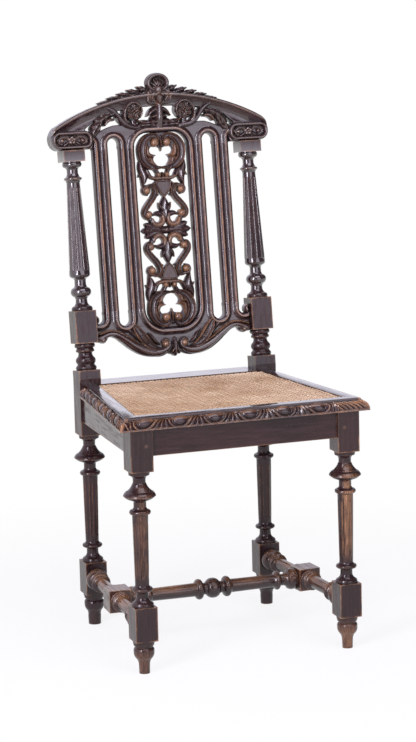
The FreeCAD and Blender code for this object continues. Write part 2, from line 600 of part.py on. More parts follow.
# Moulded slats
slat_face = path_face(
    (-SLAT_HALF, PLATE_BACK + 2), (-SLAT_HALF, 3), ((2 - SLAT_HALF, 9.4), (5.5 - SLAT_HALF, PLATE_FRONT)),
    (7.5 - SLAT_HALF, PLATE_FRONT), ((0, 6), (SLAT_HALF - 7.5, PLATE_FRONT)), (SLAT_HALF - 5.5, PLATE_FRONT),
    ((SLAT_HALF - 2, 9.4), (SLAT_HALF, 3)), (SLAT_HALF, PLATE_BACK + 2))
slat_tenon = Part.makeBox(20, 8, SLAT_LENGTH + 2 * BACK_TENON, vec(-10, -4, -BACK_TENON))
slat = slab(slat_face, 0, SLAT_LENGTH).fuse(slat_tenon)
slat = slat.mirror(vec(0, 0, 0), vec(0, 1, 0))
slat.rotate(vec(0, 0, 0), vec(1, 0, 0), -90)
inner_slat = moved(slat, INNER_SLAT, SLAT_BOTTOM)
outer_slat = moved(slat, OUTER_SLAT, SLAT_BOTTOM)
slats = [inner_slat, mirror(inner_slat), outer_slat, mirror(outer_slat)]

# Pierced splat: the upper right quarter, measured from its middle, mirrored across and down
splat_half = (splat_top - splat_bottom) / 2
stretch = splat_half / 182.5


def drawn(points):
    """Points of the splat's pattern, stretched to its height."""
    return [(u, v * stretch) for u, v in points]


splat_edge = drawn([
    (40, 10.5), (33, 16.5), (39, 23.5), (46.5, 32.5), (43, 44.5), (33, 56.5), (30, 64.5), (40, 68.5), (41.5, 76.5),
    (36, 84.5), (40, 91.5), (43.5, 105.5), (42, 118.5), (46.5, 133.5), (46, 148.5), (40, 162.5), (28, 173.5),
    (15, 178.5)])
holes = [
    [(2.5, 148.5), (8, 143.5), (14, 140), (20, 143.5), (22, 150.5), (15, 156.5), (5, 157.5)],
    [(17, 86.5), (26, 85.5), (33, 88.5), (25, 92)], [(15, 105.5), (20, 99.5), (24, 105.5), (21, 113.5)],
    [(11, 66.5), (19, 60.5), (34, 39.5), (26, 36.5), (17, 43.5)],
    [(6, 21.5), (13, 16.5), (23, 17.5), (17, 24.5)], [(33, 95.5), (37, 103.5), (35, 113.5), (30, 105.5)],
    [(-14, 133.5), (0, 119.5), (14, 133.5), (8, 141.5), (0, 137.5), (-8, 141.5)],
    [(0, 106.5), (4, 111.5), (0, 115.5), (-4, 111.5)]]
splat_quarter = path_face((0, 0), (46, 0), splat_edge, (15, splat_half), (0, splat_half))
splat = slab(splat_quarter, SPLAT_BACK, SPLAT_FRONT).cut([slab(loop(drawn(p)), -20, 20) for p in holes])
for u, v, r in ((12, 164.5, 8.5), (33, 74.5, 8.5), (32, 29.5, 8), (8, 101.5, 5)):
    eye = turned([(0, r), (SPLAT_FRONT, r), (SPLAT_FRONT + 3, r * 0.35, r * 0.1)])
    splat = splat.fuse(moved(eye, u, v * stretch))
splat = both_sides(splat.fuse(splat.mirror(vec(0, 0, 0), vec(0, 1, 0))).removeSplitter())
splat_tenon = Part.makeBox(24, BACK_TENON, 8, vec(-12, splat_half, -4))
splat_ends = [splat_tenon, splat_tenon.mirror(vec(0, 0, 0), vec(0, 1, 0))]
splat = splat.multiFuse(splat_ends)
splat_middle = (splat_bottom + splat_top) / 2
splat = moved(splat, 0, splat_middle)
splat_ends = [moved(end, 0, splat_middle) for end in splat_ends]

# Mortises
crest = crest.cut(slats + splat_ends)
lower_rail = lower_rail.cut(slats + splat_ends)
front_leg = front_leg.cut([front_tenon, side_tenon, side_stretcher, peg_front])
rear_post = rear_post.cut(
    [rear_tenon, side_tenon, side_stretcher, peg_rear, side_stub, rear_stub, to_back(lower_tenon)])

pair("front_leg", front_leg)
pair("rear_post", rear_post)
parts["front_seat_rail"] = front_rail
parts["rear_seat_rail"] = rear_rail
pair("side_seat_rail", side_rail)
parts["side_stretcher_right"] = side_stretcher
parts["side_stretcher_left"] = side_stretcher_left
parts["cross_stretcher"] = cross_stretcher
parts["seat_frame_front"] = front_member
parts["seat_frame_rear"] = rear_member
pair("seat_frame_side", side_member)
parts["cane_panel"] = cane
pair("corner_block_front", corner_front)
pair("corner_block_rear", corner_rear)
parts["corner_block_screws"] = Part.makeCompound(rail_screws)
parts["seat_frame_screws"] = Part.makeCompound(frame_screws)
parts["front_rail_pegs"] = Part.makeCompound(front_pegs)
parts["rear_rail_pegs"] = Part.makeCompound(rear_pegs)
parts["seat_mitre_dowels"] = Part.makeCompound(mitre_dowels)
parts["lower_back_rail"] = to_back(lower_rail)
parts["crest_rail"] = to_back(crest)
parts["crest_boss"] = to_back(boss)
pair("crest_leaf", to_back(leaf))
pair("back_slat_inner", to_back(inner_slat))
pair("back_slat_outer", to_back(outer_slat))
parts["back_splat"] = to_back(splat)

# The middle of the chair in plan becomes the origin
front_edge = parts["seat_frame_front"].optimalBoundingBox().YMin
back_edge = max(parts[n].optimalBoundingBox().YMax for n in ("crest_rail", "crest_boss"))
centre_y = (front_edge + back_edge) / 2

os.makedirs("parts", exist_ok=True)
for name, shape in parts.items():
    shape.translate(vec(0, -centre_y))
    shape.exportStep("parts/" + name + ".step")
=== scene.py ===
import math

import bpy
import numpy as np
from mathutils import Matrix, Vector


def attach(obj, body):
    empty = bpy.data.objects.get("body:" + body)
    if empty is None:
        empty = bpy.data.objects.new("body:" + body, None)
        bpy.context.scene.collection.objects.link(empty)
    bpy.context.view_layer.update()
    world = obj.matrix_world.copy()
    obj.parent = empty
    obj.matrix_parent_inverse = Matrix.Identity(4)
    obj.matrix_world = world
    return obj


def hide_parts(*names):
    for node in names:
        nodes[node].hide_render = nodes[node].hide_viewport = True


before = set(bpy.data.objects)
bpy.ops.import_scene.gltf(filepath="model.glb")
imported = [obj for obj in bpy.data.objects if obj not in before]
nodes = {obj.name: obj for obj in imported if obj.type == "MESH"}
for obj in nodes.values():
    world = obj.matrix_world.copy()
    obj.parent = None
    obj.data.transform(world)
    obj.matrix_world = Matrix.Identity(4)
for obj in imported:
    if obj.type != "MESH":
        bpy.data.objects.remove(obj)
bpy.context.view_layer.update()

MM = 0.001


class Value:
    """A number in a material's node tree; arithmetic on it adds Math nodes."""

    def __init__(self, finish, socket):
        self.finish = finish
        self.socket = socket

    def math(self, operation, *others):
        sockets = dict(enumerate((self,) + others))
        return self.finish.node("ShaderNodeMath", {"operation": operation}, sockets)

    def __add__(self, other):
        return self.math("ADD", other)

    def __sub__(self, other):
        return self.math("SUBTRACT", other)

    def __rsub__(self, other):
        return self.finish.node("ShaderNodeMath", {"operation": "SUBTRACT"}, {0: other, 1: self})

    def __mul__(self, other):
        return self.math("MULTIPLY", other)

    __radd__ = __add__
    __rmul__ = __mul__


class Finish:
    """The node tree of a material, or of the studio's light, under construction."""

    def __init__(self, name, owner=None):
        self.owner = owner or bpy.data.materials.new(name)
        self.owner.use_nodes = True
        self.tree = self.owner.node_tree
        self.tree.nodes.clear()

    def node(self, kind, settings=None, sockets=None, output=0):
        """Add a node: its settings first, then a number or a link for each socket."""
        made = self.tree.nodes.new(kind)
        for name, setting in (settings or {}).items():
            setattr(made, name, setting)
        for name, value in (sockets or {}).items():
            if isinstance(value, Value):
                self.tree.links.new(value.socket, made.inputs[name])
            else:
                made.inputs[name].default_value = value
        return Value(self, made.outputs[output] if made.outputs else None)

    def mix(self, amount, a, b):
        """Blend two colours."""
        return self.node("ShaderNodeMix", {"data_type": "RGBA"}, {0: amount, 6: a, 7: b}, 2)

    def ramp(self, amount, low, high):
        """Spread the range from low to high over 0 to 1."""
        return self.node("ShaderNodeMapRange", {}, {0: amount, 1: low, 2: high})

    def between(self, amount, low, high, rise, fall):
        """1 between low and high, with a slope inside each end."""
        return self.ramp(amount, low, low + rise) * self.ramp(amount, high, high - fall)

    def noise(self, place, scale, detail, roughness=0.5):
        """Cloudy values around a half."""
        return self.node("ShaderNodeTexNoise", {}, {
            "Vector": place, "Scale": scale, "Detail": detail, "Roughness": roughness})

    def grain(self, place, along, squeeze):
        """Places squeezed across one axis, so that noise there runs along it."""
        scale = [1.0 if axis == along else squeeze for axis in "XYZ"]
        return self.node("ShaderNodeMapping", {}, {"Vector": place, "Scale": scale})

    def done(self, shader, output="ShaderNodeOutputMaterial"):
        self.node(output, {}, {0: shader})
        return self.owner


def rgb(red, green, blue):
    """A colour as seen, from 0 to 255, made linear."""
    def linear(c):
        c /= 255
        return c / 12.92 if c <= 0.04045 else ((c + 0.055) / 1.055) ** 2.4
    return (linear(red), linear(green), linear(blue), 1)


# Heights on the legs and posts, in metres
FOOT_TOP = 0.058
SHAFT = (0.16, 0.345)
SEAT_BLOCK = (0.385, 0.475)
COLUMN = (0.60, 0.89)


def stained_oak(name, along, gloss=0.65, handled=0.8, kind="plain"):
    """Dark stained and waxed oak with its grain along one axis, rubbed brown on the edges.

    A frame is polished on top, a leg is scuffed in front, a post is waxed up its column
    and a stretcher is trodden. Its hollows are darkened with grime and painted shade.
    """
    f = Finish(name)
    turned = kind in ("leg", "post", "stretcher")
    place = f.node("ShaderNodeTexCoord", output=3)
    normal = f.node("ShaderNodeNewGeometry", output=1)
    side = f.node("ShaderNodeSeparateXYZ", {}, {0: place}, 0)
    height = f.node("ShaderNodeSeparateXYZ", {}, {0: place}, 2)
    frontward = 0.0 - f.node("ShaderNodeSeparateXYZ", {}, {0: normal}, 1)
    upward = f.node("ShaderNodeSeparateXYZ", {}, {0: normal}, 2)
    grain_place = f.grain(place, along, 14.0)
    streaks = f.noise(grain_place, 38.0, 6.0, 0.62)
    pores = f.noise(grain_place, 150.0, 2.0)
    figure = f.noise(grain_place, 14.0, 3.0)
    patches = f.noise(place, 11.0, 3.0)
    waves = f.noise(place, 55.0, 2.0)
    rub_noise = f.noise(place, 70.0, 4.0)
    edge = f.node("ShaderNodeAmbientOcclusion", {"inside": True, "samples": 8}, {"Distance": 0.0045}, 1)
    hollow = f.node("ShaderNodeAmbientOcclusion", {"samples": 8}, {"Distance": 0.012}, 1)
    rubbed = f.node("ShaderNodeAttribute", {"attribute_name": "rubbed"}, {}, 2)
    sheltered = f.node("ShaderNodeAttribute", {"attribute_name": "sheltered"}, {}, 2)
    chance = f.ramp(rub_noise + patches * 0.5, 0.50, 0.95)
    sharp = 0.20 if turned else 0.30
    wear = f.ramp(1.0 - edge, sharp, sharp + 0.32) * chance * (1.0 - sheltered)
    if turned:
        seat_block = f.between(height, *SEAT_BLOCK, 0.01, 0.01)
        wear = wear * (1.0 - seat_block * 0.8)
    wear = (wear * handled).math("MAXIMUM", rubbed * (0.25 + chance * 0.75))
    if kind == "leg":
        shaft = f.between(height, *SHAFT, 0.03, 0.015) * f.ramp(frontward, 0.55, 0.95)
        foot = f.ramp(height, FOOT_TOP, FOOT_TOP - 0.028)
        scuff = shaft * (0.35 + f.ramp(side, -0.1, 0.1) * 0.35) + foot * 0.4
        wear = wear.math("MAXIMUM", scuff * f.ramp(patches + streaks, 0.8, 1.25))
    if kind == "stretcher":
        trodden = f.ramp(upward, -0.1, 0.8) * f.ramp(patches + streaks, 0.75, 1.2)
        wear = wear.math("MAXIMUM", trodden * 0.5)
    tone = f.ramp(streaks * 0.5 + figure * 0.4 + patches * 0.4, 0.4, 0.9)
    stain = f.mix(tone, rgb(19, 11, 13), rgb(57, 34, 35) if turned else rgb(61, 36, 38))
    stain = f.mix(f.ramp(pores, 0.60, 0.76) * 0.4, stain, rgb(14, 9, 10))
    worn = f.mix(streaks, rgb(116, 70, 40), rgb(208, 156, 110))
    colour = f.mix(wear, stain, worn)
    # Hollows darken towards near black where the occlusion is deep: partly grime in the wax, partly
    # painted shade. The grime also dulls them.
    grime_and_painted_shade = f.ramp(hollow, 0.75, 0.25)
    colour = f.mix(grime_and_painted_shade * 0.75, colour, rgb(15, 9, 9))
    relief = streaks * 0.09 + pores * 0.03 + waves * 2.2
    bump = f.node("ShaderNodeBump", {}, {"Height": relief, "Strength": 0.5, "Distance": 0.0006})
    roughness = 0.08 + f.ramp(figure, 0.42, 0.62) * 0.22 + streaks * 0.1 + grime_and_painted_shade * 0.3
    sockets = {"Base Color": colour, "Roughness": roughness, "Normal": bump, "Specular IOR Level": gloss,
               "Coat Roughness": 0.1}
    if kind == "frame":
        sockets["Coat Weight"] = f.ramp(upward, 0.9, 0.98)
    if kind == "post":
        sockets["Coat IOR"] = 1.7
        sockets["Coat Weight"] = f.between(height, *COLUMN, 0.02, 0.02)
    shader = f.node("ShaderNodeBsdfPrincipled", {}, sockets)
    return f.done(shader)


def plain_wood(name, dark, light, along):
    """Unpolished wood of the corner blocks, the pegs and the dowels."""
    f = Finish(name)
    place = f.node("ShaderNodeTexCoord", output=3)
    streaks = f.noise(f.grain(place, along, 12.0), 45.0, 5.0)
    bump = f.node("ShaderNodeBump", {}, {"Height": streaks, "Strength": 0.2, "Distance": 0.0005})
    shader = f.node("ShaderNodeBsdfPrincipled", {}, {
        "Base Color": f.mix(f.ramp(streaks, 0.3, 0.7), dark, light), "Roughness": 0.6 + streaks * 0.2,
        "Normal": bump})
    return f.done(shader)


def screw_steel(name):
    """Plain steel with specks of rust."""
    f = Finish(name)
    place = f.node("ShaderNodeTexCoord", output=3)
    rust = f.noise(place, 260.0, 4.0)
    shader = f.node("ShaderNodeBsdfPrincipled", {}, {
        "Base Color": f.mix(f.ramp(rust, 0.5, 0.75), (0.4, 0.39, 0.37, 1), rgb(92, 62, 44)),
        "Roughness": 0.3 + rust * 0.3, "Metallic": 1.0})
    return f.done(shader)


def split_cane(name):
    """Pale cane, with painted shade where the strands cross and close each other in."""
    f = Finish(name)
    place = f.node("ShaderNodeTexCoord", output=3)
    patches = f.noise(place, 14.0, 4.0)
    flecks = f.noise(place, 420.0, 3.0)
    hollow = f.node("ShaderNodeAmbientOcclusion", {"samples": 8}, {"Distance": 0.004}, 1)
    colour = f.mix(f.ramp(patches + flecks * 0.5, 0.5, 1.0), rgb(178, 138, 101), rgb(232, 202, 168))
    # Painted shade: the cane darkens towards brown where nearby strands close it in, at crossings and
    # between strands.
    colour = f.mix(f.ramp(hollow, 0.88, 0.6) * 0.9, colour, rgb(70, 42, 28))
    bump = f.node("ShaderNodeBump", {}, {"Height": flecks, "Strength": 0.15, "Distance": 0.0003})
    shader = f.node("ShaderNodeBsdfPrincipled", {}, {
        "Base Color": colour, "Roughness": 0.36 + flecks * 0.15, "Normal": bump})
    return f.done(shader)


upright = stained_oak("stained_oak_upright", "Z")
worn_leg = stained_oak("stained_oak_leg", "Z", gloss=0.42, handled=0.85, kind="leg")
waxed_post = stained_oak("stained_oak_post", "Z", gloss=0.40, handled=0.7, kind="post")
across = stained_oak("stained_oak_across", "X", gloss=1.0)
dull_across = stained_oak("stained_oak_rail", "X", gloss=0.36)
lengthwise = stained_oak("stained_oak_lengthwise", "Y")
cross_bar = stained_oak("stained_oak_cross_stretcher", "X", gloss=0.6, handled=0.8, kind="stretcher")
side_bar = stained_oak("stained_oak_side_stretcher", "Y", gloss=0.5, handled=0.8, kind="stretcher")
frame_across = stained_oak("polished_frame_across", "X", kind="frame")
frame_lengthwise = stained_oak("polished_frame_lengthwise", "Y", kind="frame")
bare_wood = plain_wood("bare_corner_wood", rgb(110, 78, 50), rgb(160, 120, 80), "X")
peg_wood = plain_wood("stained_peg_wood", rgb(52, 34, 28), rgb(92, 64, 48), "Y")
steel = screw_steel("screw_steel")
cane = split_cane("split_cane")

# First words of a piece's name, and the finish that it has unless a carved piece takes its place
FINISHES = {
    "front_leg": worn_leg, "rear_post": waxed_post,
    "cross_stretcher": cross_bar, "side_stretcher": side_bar,
    "front_seat_rail": dull_across, "rear_seat_rail": dull_across, "side_seat_rail": lengthwise,
    "seat_frame_rear": frame_across, "corner_block_screws": steel, "seat_frame_screws": steel,
    "corner_block": bare_wood, "front_rail_pegs": peg_wood, "rear_rail_pegs": peg_wood,
    "seat_mitre_dowels": peg_wood, "cane_panel": cane}


def finish_of(name):
    """The finish of a CAD node."""
    for start, finish in FINISHES.items():
        if name.startswith(start):
            return finish
    return upright


for name, piece in nodes.items():
    piece.data.materials.clear()
    piece.data.materials.append(finish_of(name))

# Carving in relief. The back is laid out flat in millimetres from the bend of the posts:
# u across, v up the posts, t towards the front.
RAKE = math.radians(7.54)
BEND = np.array((0, 148.276, 470))
BACK_AXES = np.array((
    (1, 0, 0),
    (0, math.sin(RAKE), math.cos(RAKE)),
    (0, -math.cos(RAKE), math.sin(RAKE))))
EMPTY = -99.0
EVERYWHERE = np.s_[:, :]
LAYERS = ("height", "inside", "rubbed", "sheltered")
SLAT_LOW = 120.0
SLAT_HIGH = 420.0
SLAT_HALF = 15.0
MOULDING_TOP = 12.0
CREST_TOP = 520.0
CREST_RADIUS = 412.0
CREST_CENTRE = CREST_TOP - CREST_RADIUS


def on_back(flat):
    """Points of the flat layout, set on the raked back in metres."""
    return (BEND + flat @ BACK_AXES) * MM


def smooth_line(points, steps=7):
    """Points along a smooth curve through all columns of the given rows."""
    rows = np.array(points, float)
    rows = np.vstack([2 * rows[0] - rows[1], rows, 2 * rows[-1] - rows[-2]])
    made = []
    for a, b, c, d in zip(rows, rows[1:], rows[2:], rows[3:]):
        for i in range(steps):
            x = i / steps
            bend = 2 * a - 5 * b + 4 * c - d + x * (3 * (b - c) + d - a)
            made.append(b + 0.5 * x * (c - a + x * bend))
    made.append(rows[-2])
    return np.array(made)


def rounded(x):
    """A half-round section."""
    return np.sqrt(np.clip(1 - x * x, 0, 1))


def gouged(x):
    """A hollow section with two rounded edges."""
    hollow = 0.5 + 0.5 * (x / 0.76) ** 2
    return np.where(np.abs(x) < 0.76, hollow, rounded((np.abs(x) - 0.76) / 0.24))


def ridged(x):
    """A section that falls from a ridge, a little hollow on both sides."""
    return np.clip(1 - 0.45 * np.abs(x) - 0.35 * np.abs(x) ** 3, 0, 1)


class Relief:
    """Carved wood on a fine grid: the height of its face and the distance inside its outline."""

    def __init__(self, low, high, step):
        self.step = step
        us = np.arange(low[0], high[0] + step / 2, step)
        vs = np.arange(low[1], high[1] + step / 2, step)
        self.u, self.v = np.meshgrid(us, vs)
        self.height = np.full(self.u.shape, EMPTY)
        self.inside = np.full(self.u.shape, EMPTY)
        self.rubbed = np.zeros(self.u.shape)
        self.sheltered = np.full(self.u.shape, 0.6)

    def window(self, low, high):
        """The part of the grid inside a box."""
        i = np.searchsorted(self.u[0], (low[0], high[0]))
        j = np.searchsorted(self.v[:, 0], (low[1], high[1]))
        return np.s_[j[0]:j[1], i[0]:i[1]]

    def add(self, part, height, inside, rub=0.0, soft=0.8):
        """Join one form to the wood, with a softened corner where two meet."""
        height = np.where(inside > -self.step, height, EMPTY)
        old = self.height[part]
        blend = np.clip(soft - np.abs(old - height), 0, None) ** 2 / (4 * soft)
        self.rubbed[part] = np.where(height > old, rub, self.rubbed[part])
        self.height[part] = np.maximum(old, height) + blend
        self.inside[part] = np.maximum(self.inside[part], inside)

    def stroke(self, points, section=rounded, ground=2.0, rub=0.0, lobes=0, lean=0.0, rim=0.0):
        """A band along a smooth line of points (u, v, half-width, height); rim rubs its two edges."""
        line = smooth_line(points)
        reach = line[:, 2].max() + 1
        part = self.window(line[:, :2].min(0) - reach, line[:, :2].max(0) + reach)
        u, v = self.u[part], self.v[part]
        best = np.full(u.shape, EMPTY)
        side, width, top, along = (np.zeros(u.shape) for _ in range(4))
        for i, (a, b) in enumerate(zip(line, line[1:])):
            run = b[:2] - a[:2]
            length = max(np.hypot(*run), 1e-6)
            t = np.clip(((u - a[0]) * run[0] + (v - a[1]) * run[1]) / length ** 2, 0, 1)
            du, dv = u - a[0] - t * run[0], v - a[1] - t * run[1]
            w = np.maximum(a[2] + t * (b[2] - a[2]), 0.3)
            room = w - np.hypot(du, dv)
            near = room > best
            best = np.where(near, room, best)
            width = np.where(near, w, width)
            top = np.where(near, a[3] + t * (b[3] - a[3]), top)
            side = np.where(near, np.sign(run[0] * dv - run[1] * du), side)
            along = np.where(near, (i + t) / (len(line) - 1), along)
        width = np.maximum(width, 0.3)
        if lobes:
            x = np.clip(1 - best / width, 0, 1.5)
            wave = np.abs(np.sin(np.pi * (along * lobes - 0.45 * x)))
            best = best - width * 0.30 * (1 - wave) * np.clip(x, 0, 1)
            top = top - (top - ground) * 0.35 * (1 - wave) * np.clip(x * 1.6, 0, 1)
        x = np.clip(1 - best / width, 0, 1)
        height = ground + (top - ground) * section(x) + lean * side * x
        self.add(part, height, best, rub + rim * np.exp(-((x - 0.86) / 0.12) ** 2))

    def dome(self, u, v, radius, height, ground, rub=0.0):
        """A round knob."""
        part = self.window((u - radius - 2, v - radius - 2), (u + radius + 2, v + radius + 2))
        away = np.hypot(self.u[part] - u, self.v[part] - v)
        top = ground + (height - ground) * rounded(np.clip(away / radius, 0, 1))
        self.add(part, top, radius - away, rub, 0.4)

    def edge_distance(self, corners):
        """Distance inside a polygon, negative outside."""
        corners = np.array(corners, float)
        away = np.full(self.u.shape, 1e9)
        within = np.zeros(self.u.shape, bool)
        for a, b in zip(corners, np.roll(corners, -1, 0)):
            run = b - a
            t = np.clip(((self.u - a[0]) * run[0] + (self.v - a[1]) * run[1]) / (run @ run), 0, 1)
            away = np.minimum(away, np.hypot(self.u - a[0] - t * run[0], self.v - a[1] - t * run[1]))
            if a[1] != b[1]:
                crossing = a[0] + (self.v - a[1]) / run[1] * run[0]
                within ^= ((a[1] > self.v) != (b[1] > self.v)) & (self.u < crossing)
        return np.where(within, away, -away)

    def round_box(self, centre, half, radius):
        """Distance outside a box with rounded corners."""
        x = np.abs(self.u - centre[0]) - half[0] + radius
        y = np.abs(self.v - centre[1]) - half[1] + radius
        return np.hypot(np.maximum(x, 0), np.maximum(y, 0)) + np.minimum(np.maximum(x, y), 0) - radius

    def mirrored(self):
        """The whole from the half at u >= 0."""
        for name in ("v",) + LAYERS:
            half = getattr(self, name)
            setattr(self, name, np.hstack([half[:, :0:-1], half]))
        self.u = np.hstack([-self.u[:, :0:-1], self.u])

    def doubled(self):
        """The whole from the half at v >= 0."""
        for name in ("u",) + LAYERS:
            half = getattr(self, name)
            setattr(self, name, np.vstack([half[:0:-1], half]))
        self.v = np.vstack([-self.v[:0:-1], self.v])


def moulding(distance):
    """Section of the slats and of the edges of all openings, by the distance from the opening."""
    roll = MOULDING_TOP - 9 + 9 * np.sqrt(np.clip(1 - (1 - distance / 5.5) ** 2, 0, 1))
    cove = MOULDING_TOP - 6 * np.sin(np.clip((distance - 7.5) / 7.5, 0, 1) * np.pi / 2) ** 1.2
    return np.where(distance < 5.5, roll, np.where(distance < 7.5, MOULDING_TOP, cove))


def arris_rub(distance, amount=0.6, width=1.1):
    """How far the top of that moulding is rubbed."""
    return amount * np.exp(-((distance - 6.4) / width) ** 2)


def tube_faces(count, rows, inward=False):
    """Faces of a closed tube of rows of points, with count points in each; inward turns them round."""
    i = np.arange(count)
    j = (i + 1) % count
    around = [i, i + count, j + count, j] if inward else [i, j, j + count, i + count]
    faces = [list(quad) for k in range(rows - 1) for quad in np.stack(around, 1) + k * count]
    last = (rows - 1) * count
    ends = [i, i[::-1] + last] if inward else [i[::-1], i + last]
    return faces + [list(end) for end in ends]


def set_piece(name, points, faces, finish, replaced,
              rubbed=None, sheltered=None, smooth=50):
    """Make a piece of points and faces in metres that stands for a CAD node."""
    mesh = bpy.data.meshes.new(name)
    mesh.from_pydata(points.tolist(), [], [list(map(int, face)) for face in faces])
    mesh.materials.append(finish)
    for mark, amount in (("rubbed", rubbed), ("sheltered", sheltered)):
        if amount is not None:
            layer = mesh.attributes.new(mark, "FLOAT", "POINT")
            layer.data.foreach_set("value", amount.astype(np.float32))
    piece = bpy.data.objects.new(name, mesh)
    bpy.context.scene.collection.objects.link(piece)
    bpy.ops.object.select_all(action="DESELECT")
    piece.select_set(True)
    bpy.context.view_layer.objects.active = piece
    bpy.ops.object.shade_smooth_by_angle(angle=math.radians(smooth))
    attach(piece, "root")
    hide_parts(*replaced)
    return piece


def carve(name, relief, back, finish, replaced, round_over=1.8, lift=0.0):
    """Turn a relief into a closed piece standing in the plane of the chair's back."""
    step = relief.step
    inside, height = relief.inside, relief.height
    kept = inside > -0.4 * step
    cells = kept[:-1, :-1] & kept[:-1, 1:] & kept[1:, :-1] & kept[1:, 1:]
    for _ in range(3):
        crossed = cells[:-1, :-1] & cells[1:, 1:] & ~cells[:-1, 1:] & ~cells[1:, :-1]
        cells[:-1, :-1] &= ~crossed
        crossed = cells[:-1, 1:] & cells[1:, :-1] & ~cells[:-1, :-1] & ~cells[1:, 1:]
        cells[:-1, 1:] &= ~crossed
    slope_v, slope_u = np.gradient(inside, step)
    steep = np.maximum(slope_u ** 2 + slope_v ** 2, 0.3)
    framed = np.pad(cells, 1)
    around = framed[:-1, :-1].astype(int) + framed[:-1, 1:] + framed[1:, :-1] + framed[1:, 1:]
    rim = (around > 0) & (around < 4)
    shift = np.where(rim, np.clip(-inside / steep, -step, step), 0)
    u = relief.u + shift * np.clip(slope_u, -1.2, 1.2)
    v = relief.v + shift * np.clip(slope_v, -1.2, 1.2)
    depth = np.where(rim, 0, np.clip(inside, 0, round_over))
    depth = np.where(relief.sheltered > 0.9, round_over, depth)
    fall = round_over - np.sqrt(np.clip(round_over ** 2 - (round_over - depth) ** 2, 0, None))
    rear = back + fall * 0.6
    front = np.maximum(height - fall, rear + 1.2)
    rear, front = np.broadcast_arrays(rear, front)
    used = around > 0
    index = np.full(used.shape, -1)
    index[used] = np.arange(used.sum())
    count = int(used.sum())
    points = on_back(np.concatenate([
        np.stack([u[used], v[used] + lift, surface[used]], 1) for surface in (front, rear)]))
    quads = np.stack([index[:-1, :-1], index[:-1, 1:], index[1:, 1:], index[1:, :-1]], -1)[cells]
    walls = []
    below, above = framed[:-1, 1:-1], framed[1:, 1:-1]
    left, right = framed[1:-1, :-1], framed[1:-1, 1:]
    for first, second, run in (
            (index[:, :-1], index[:, 1:], above & ~below), (index[:, 1:], index[:, :-1], below & ~above),
            (index[:-1], index[1:], left & ~right), (index[1:], index[:-1], right & ~left)):
        walls.append(np.stack([first[run], first[run] + count, second[run] + count, second[run]], 1))
    faces = np.concatenate([quads, quads[:, ::-1] + count] + walls)
    rubbed = np.concatenate([relief.rubbed[used], np.zeros(count)])
    sheltered = np.tile(relief.sheltered[used], 2)
    return set_piece(name, points, faces, finish, replaced, rubbed=rubbed, sheltered=sheltered)


def arc(u):
    """Height of the arched top of the crest."""
    return CREST_CENTRE + np.sqrt(CREST_RADIUS ** 2 - u * u)


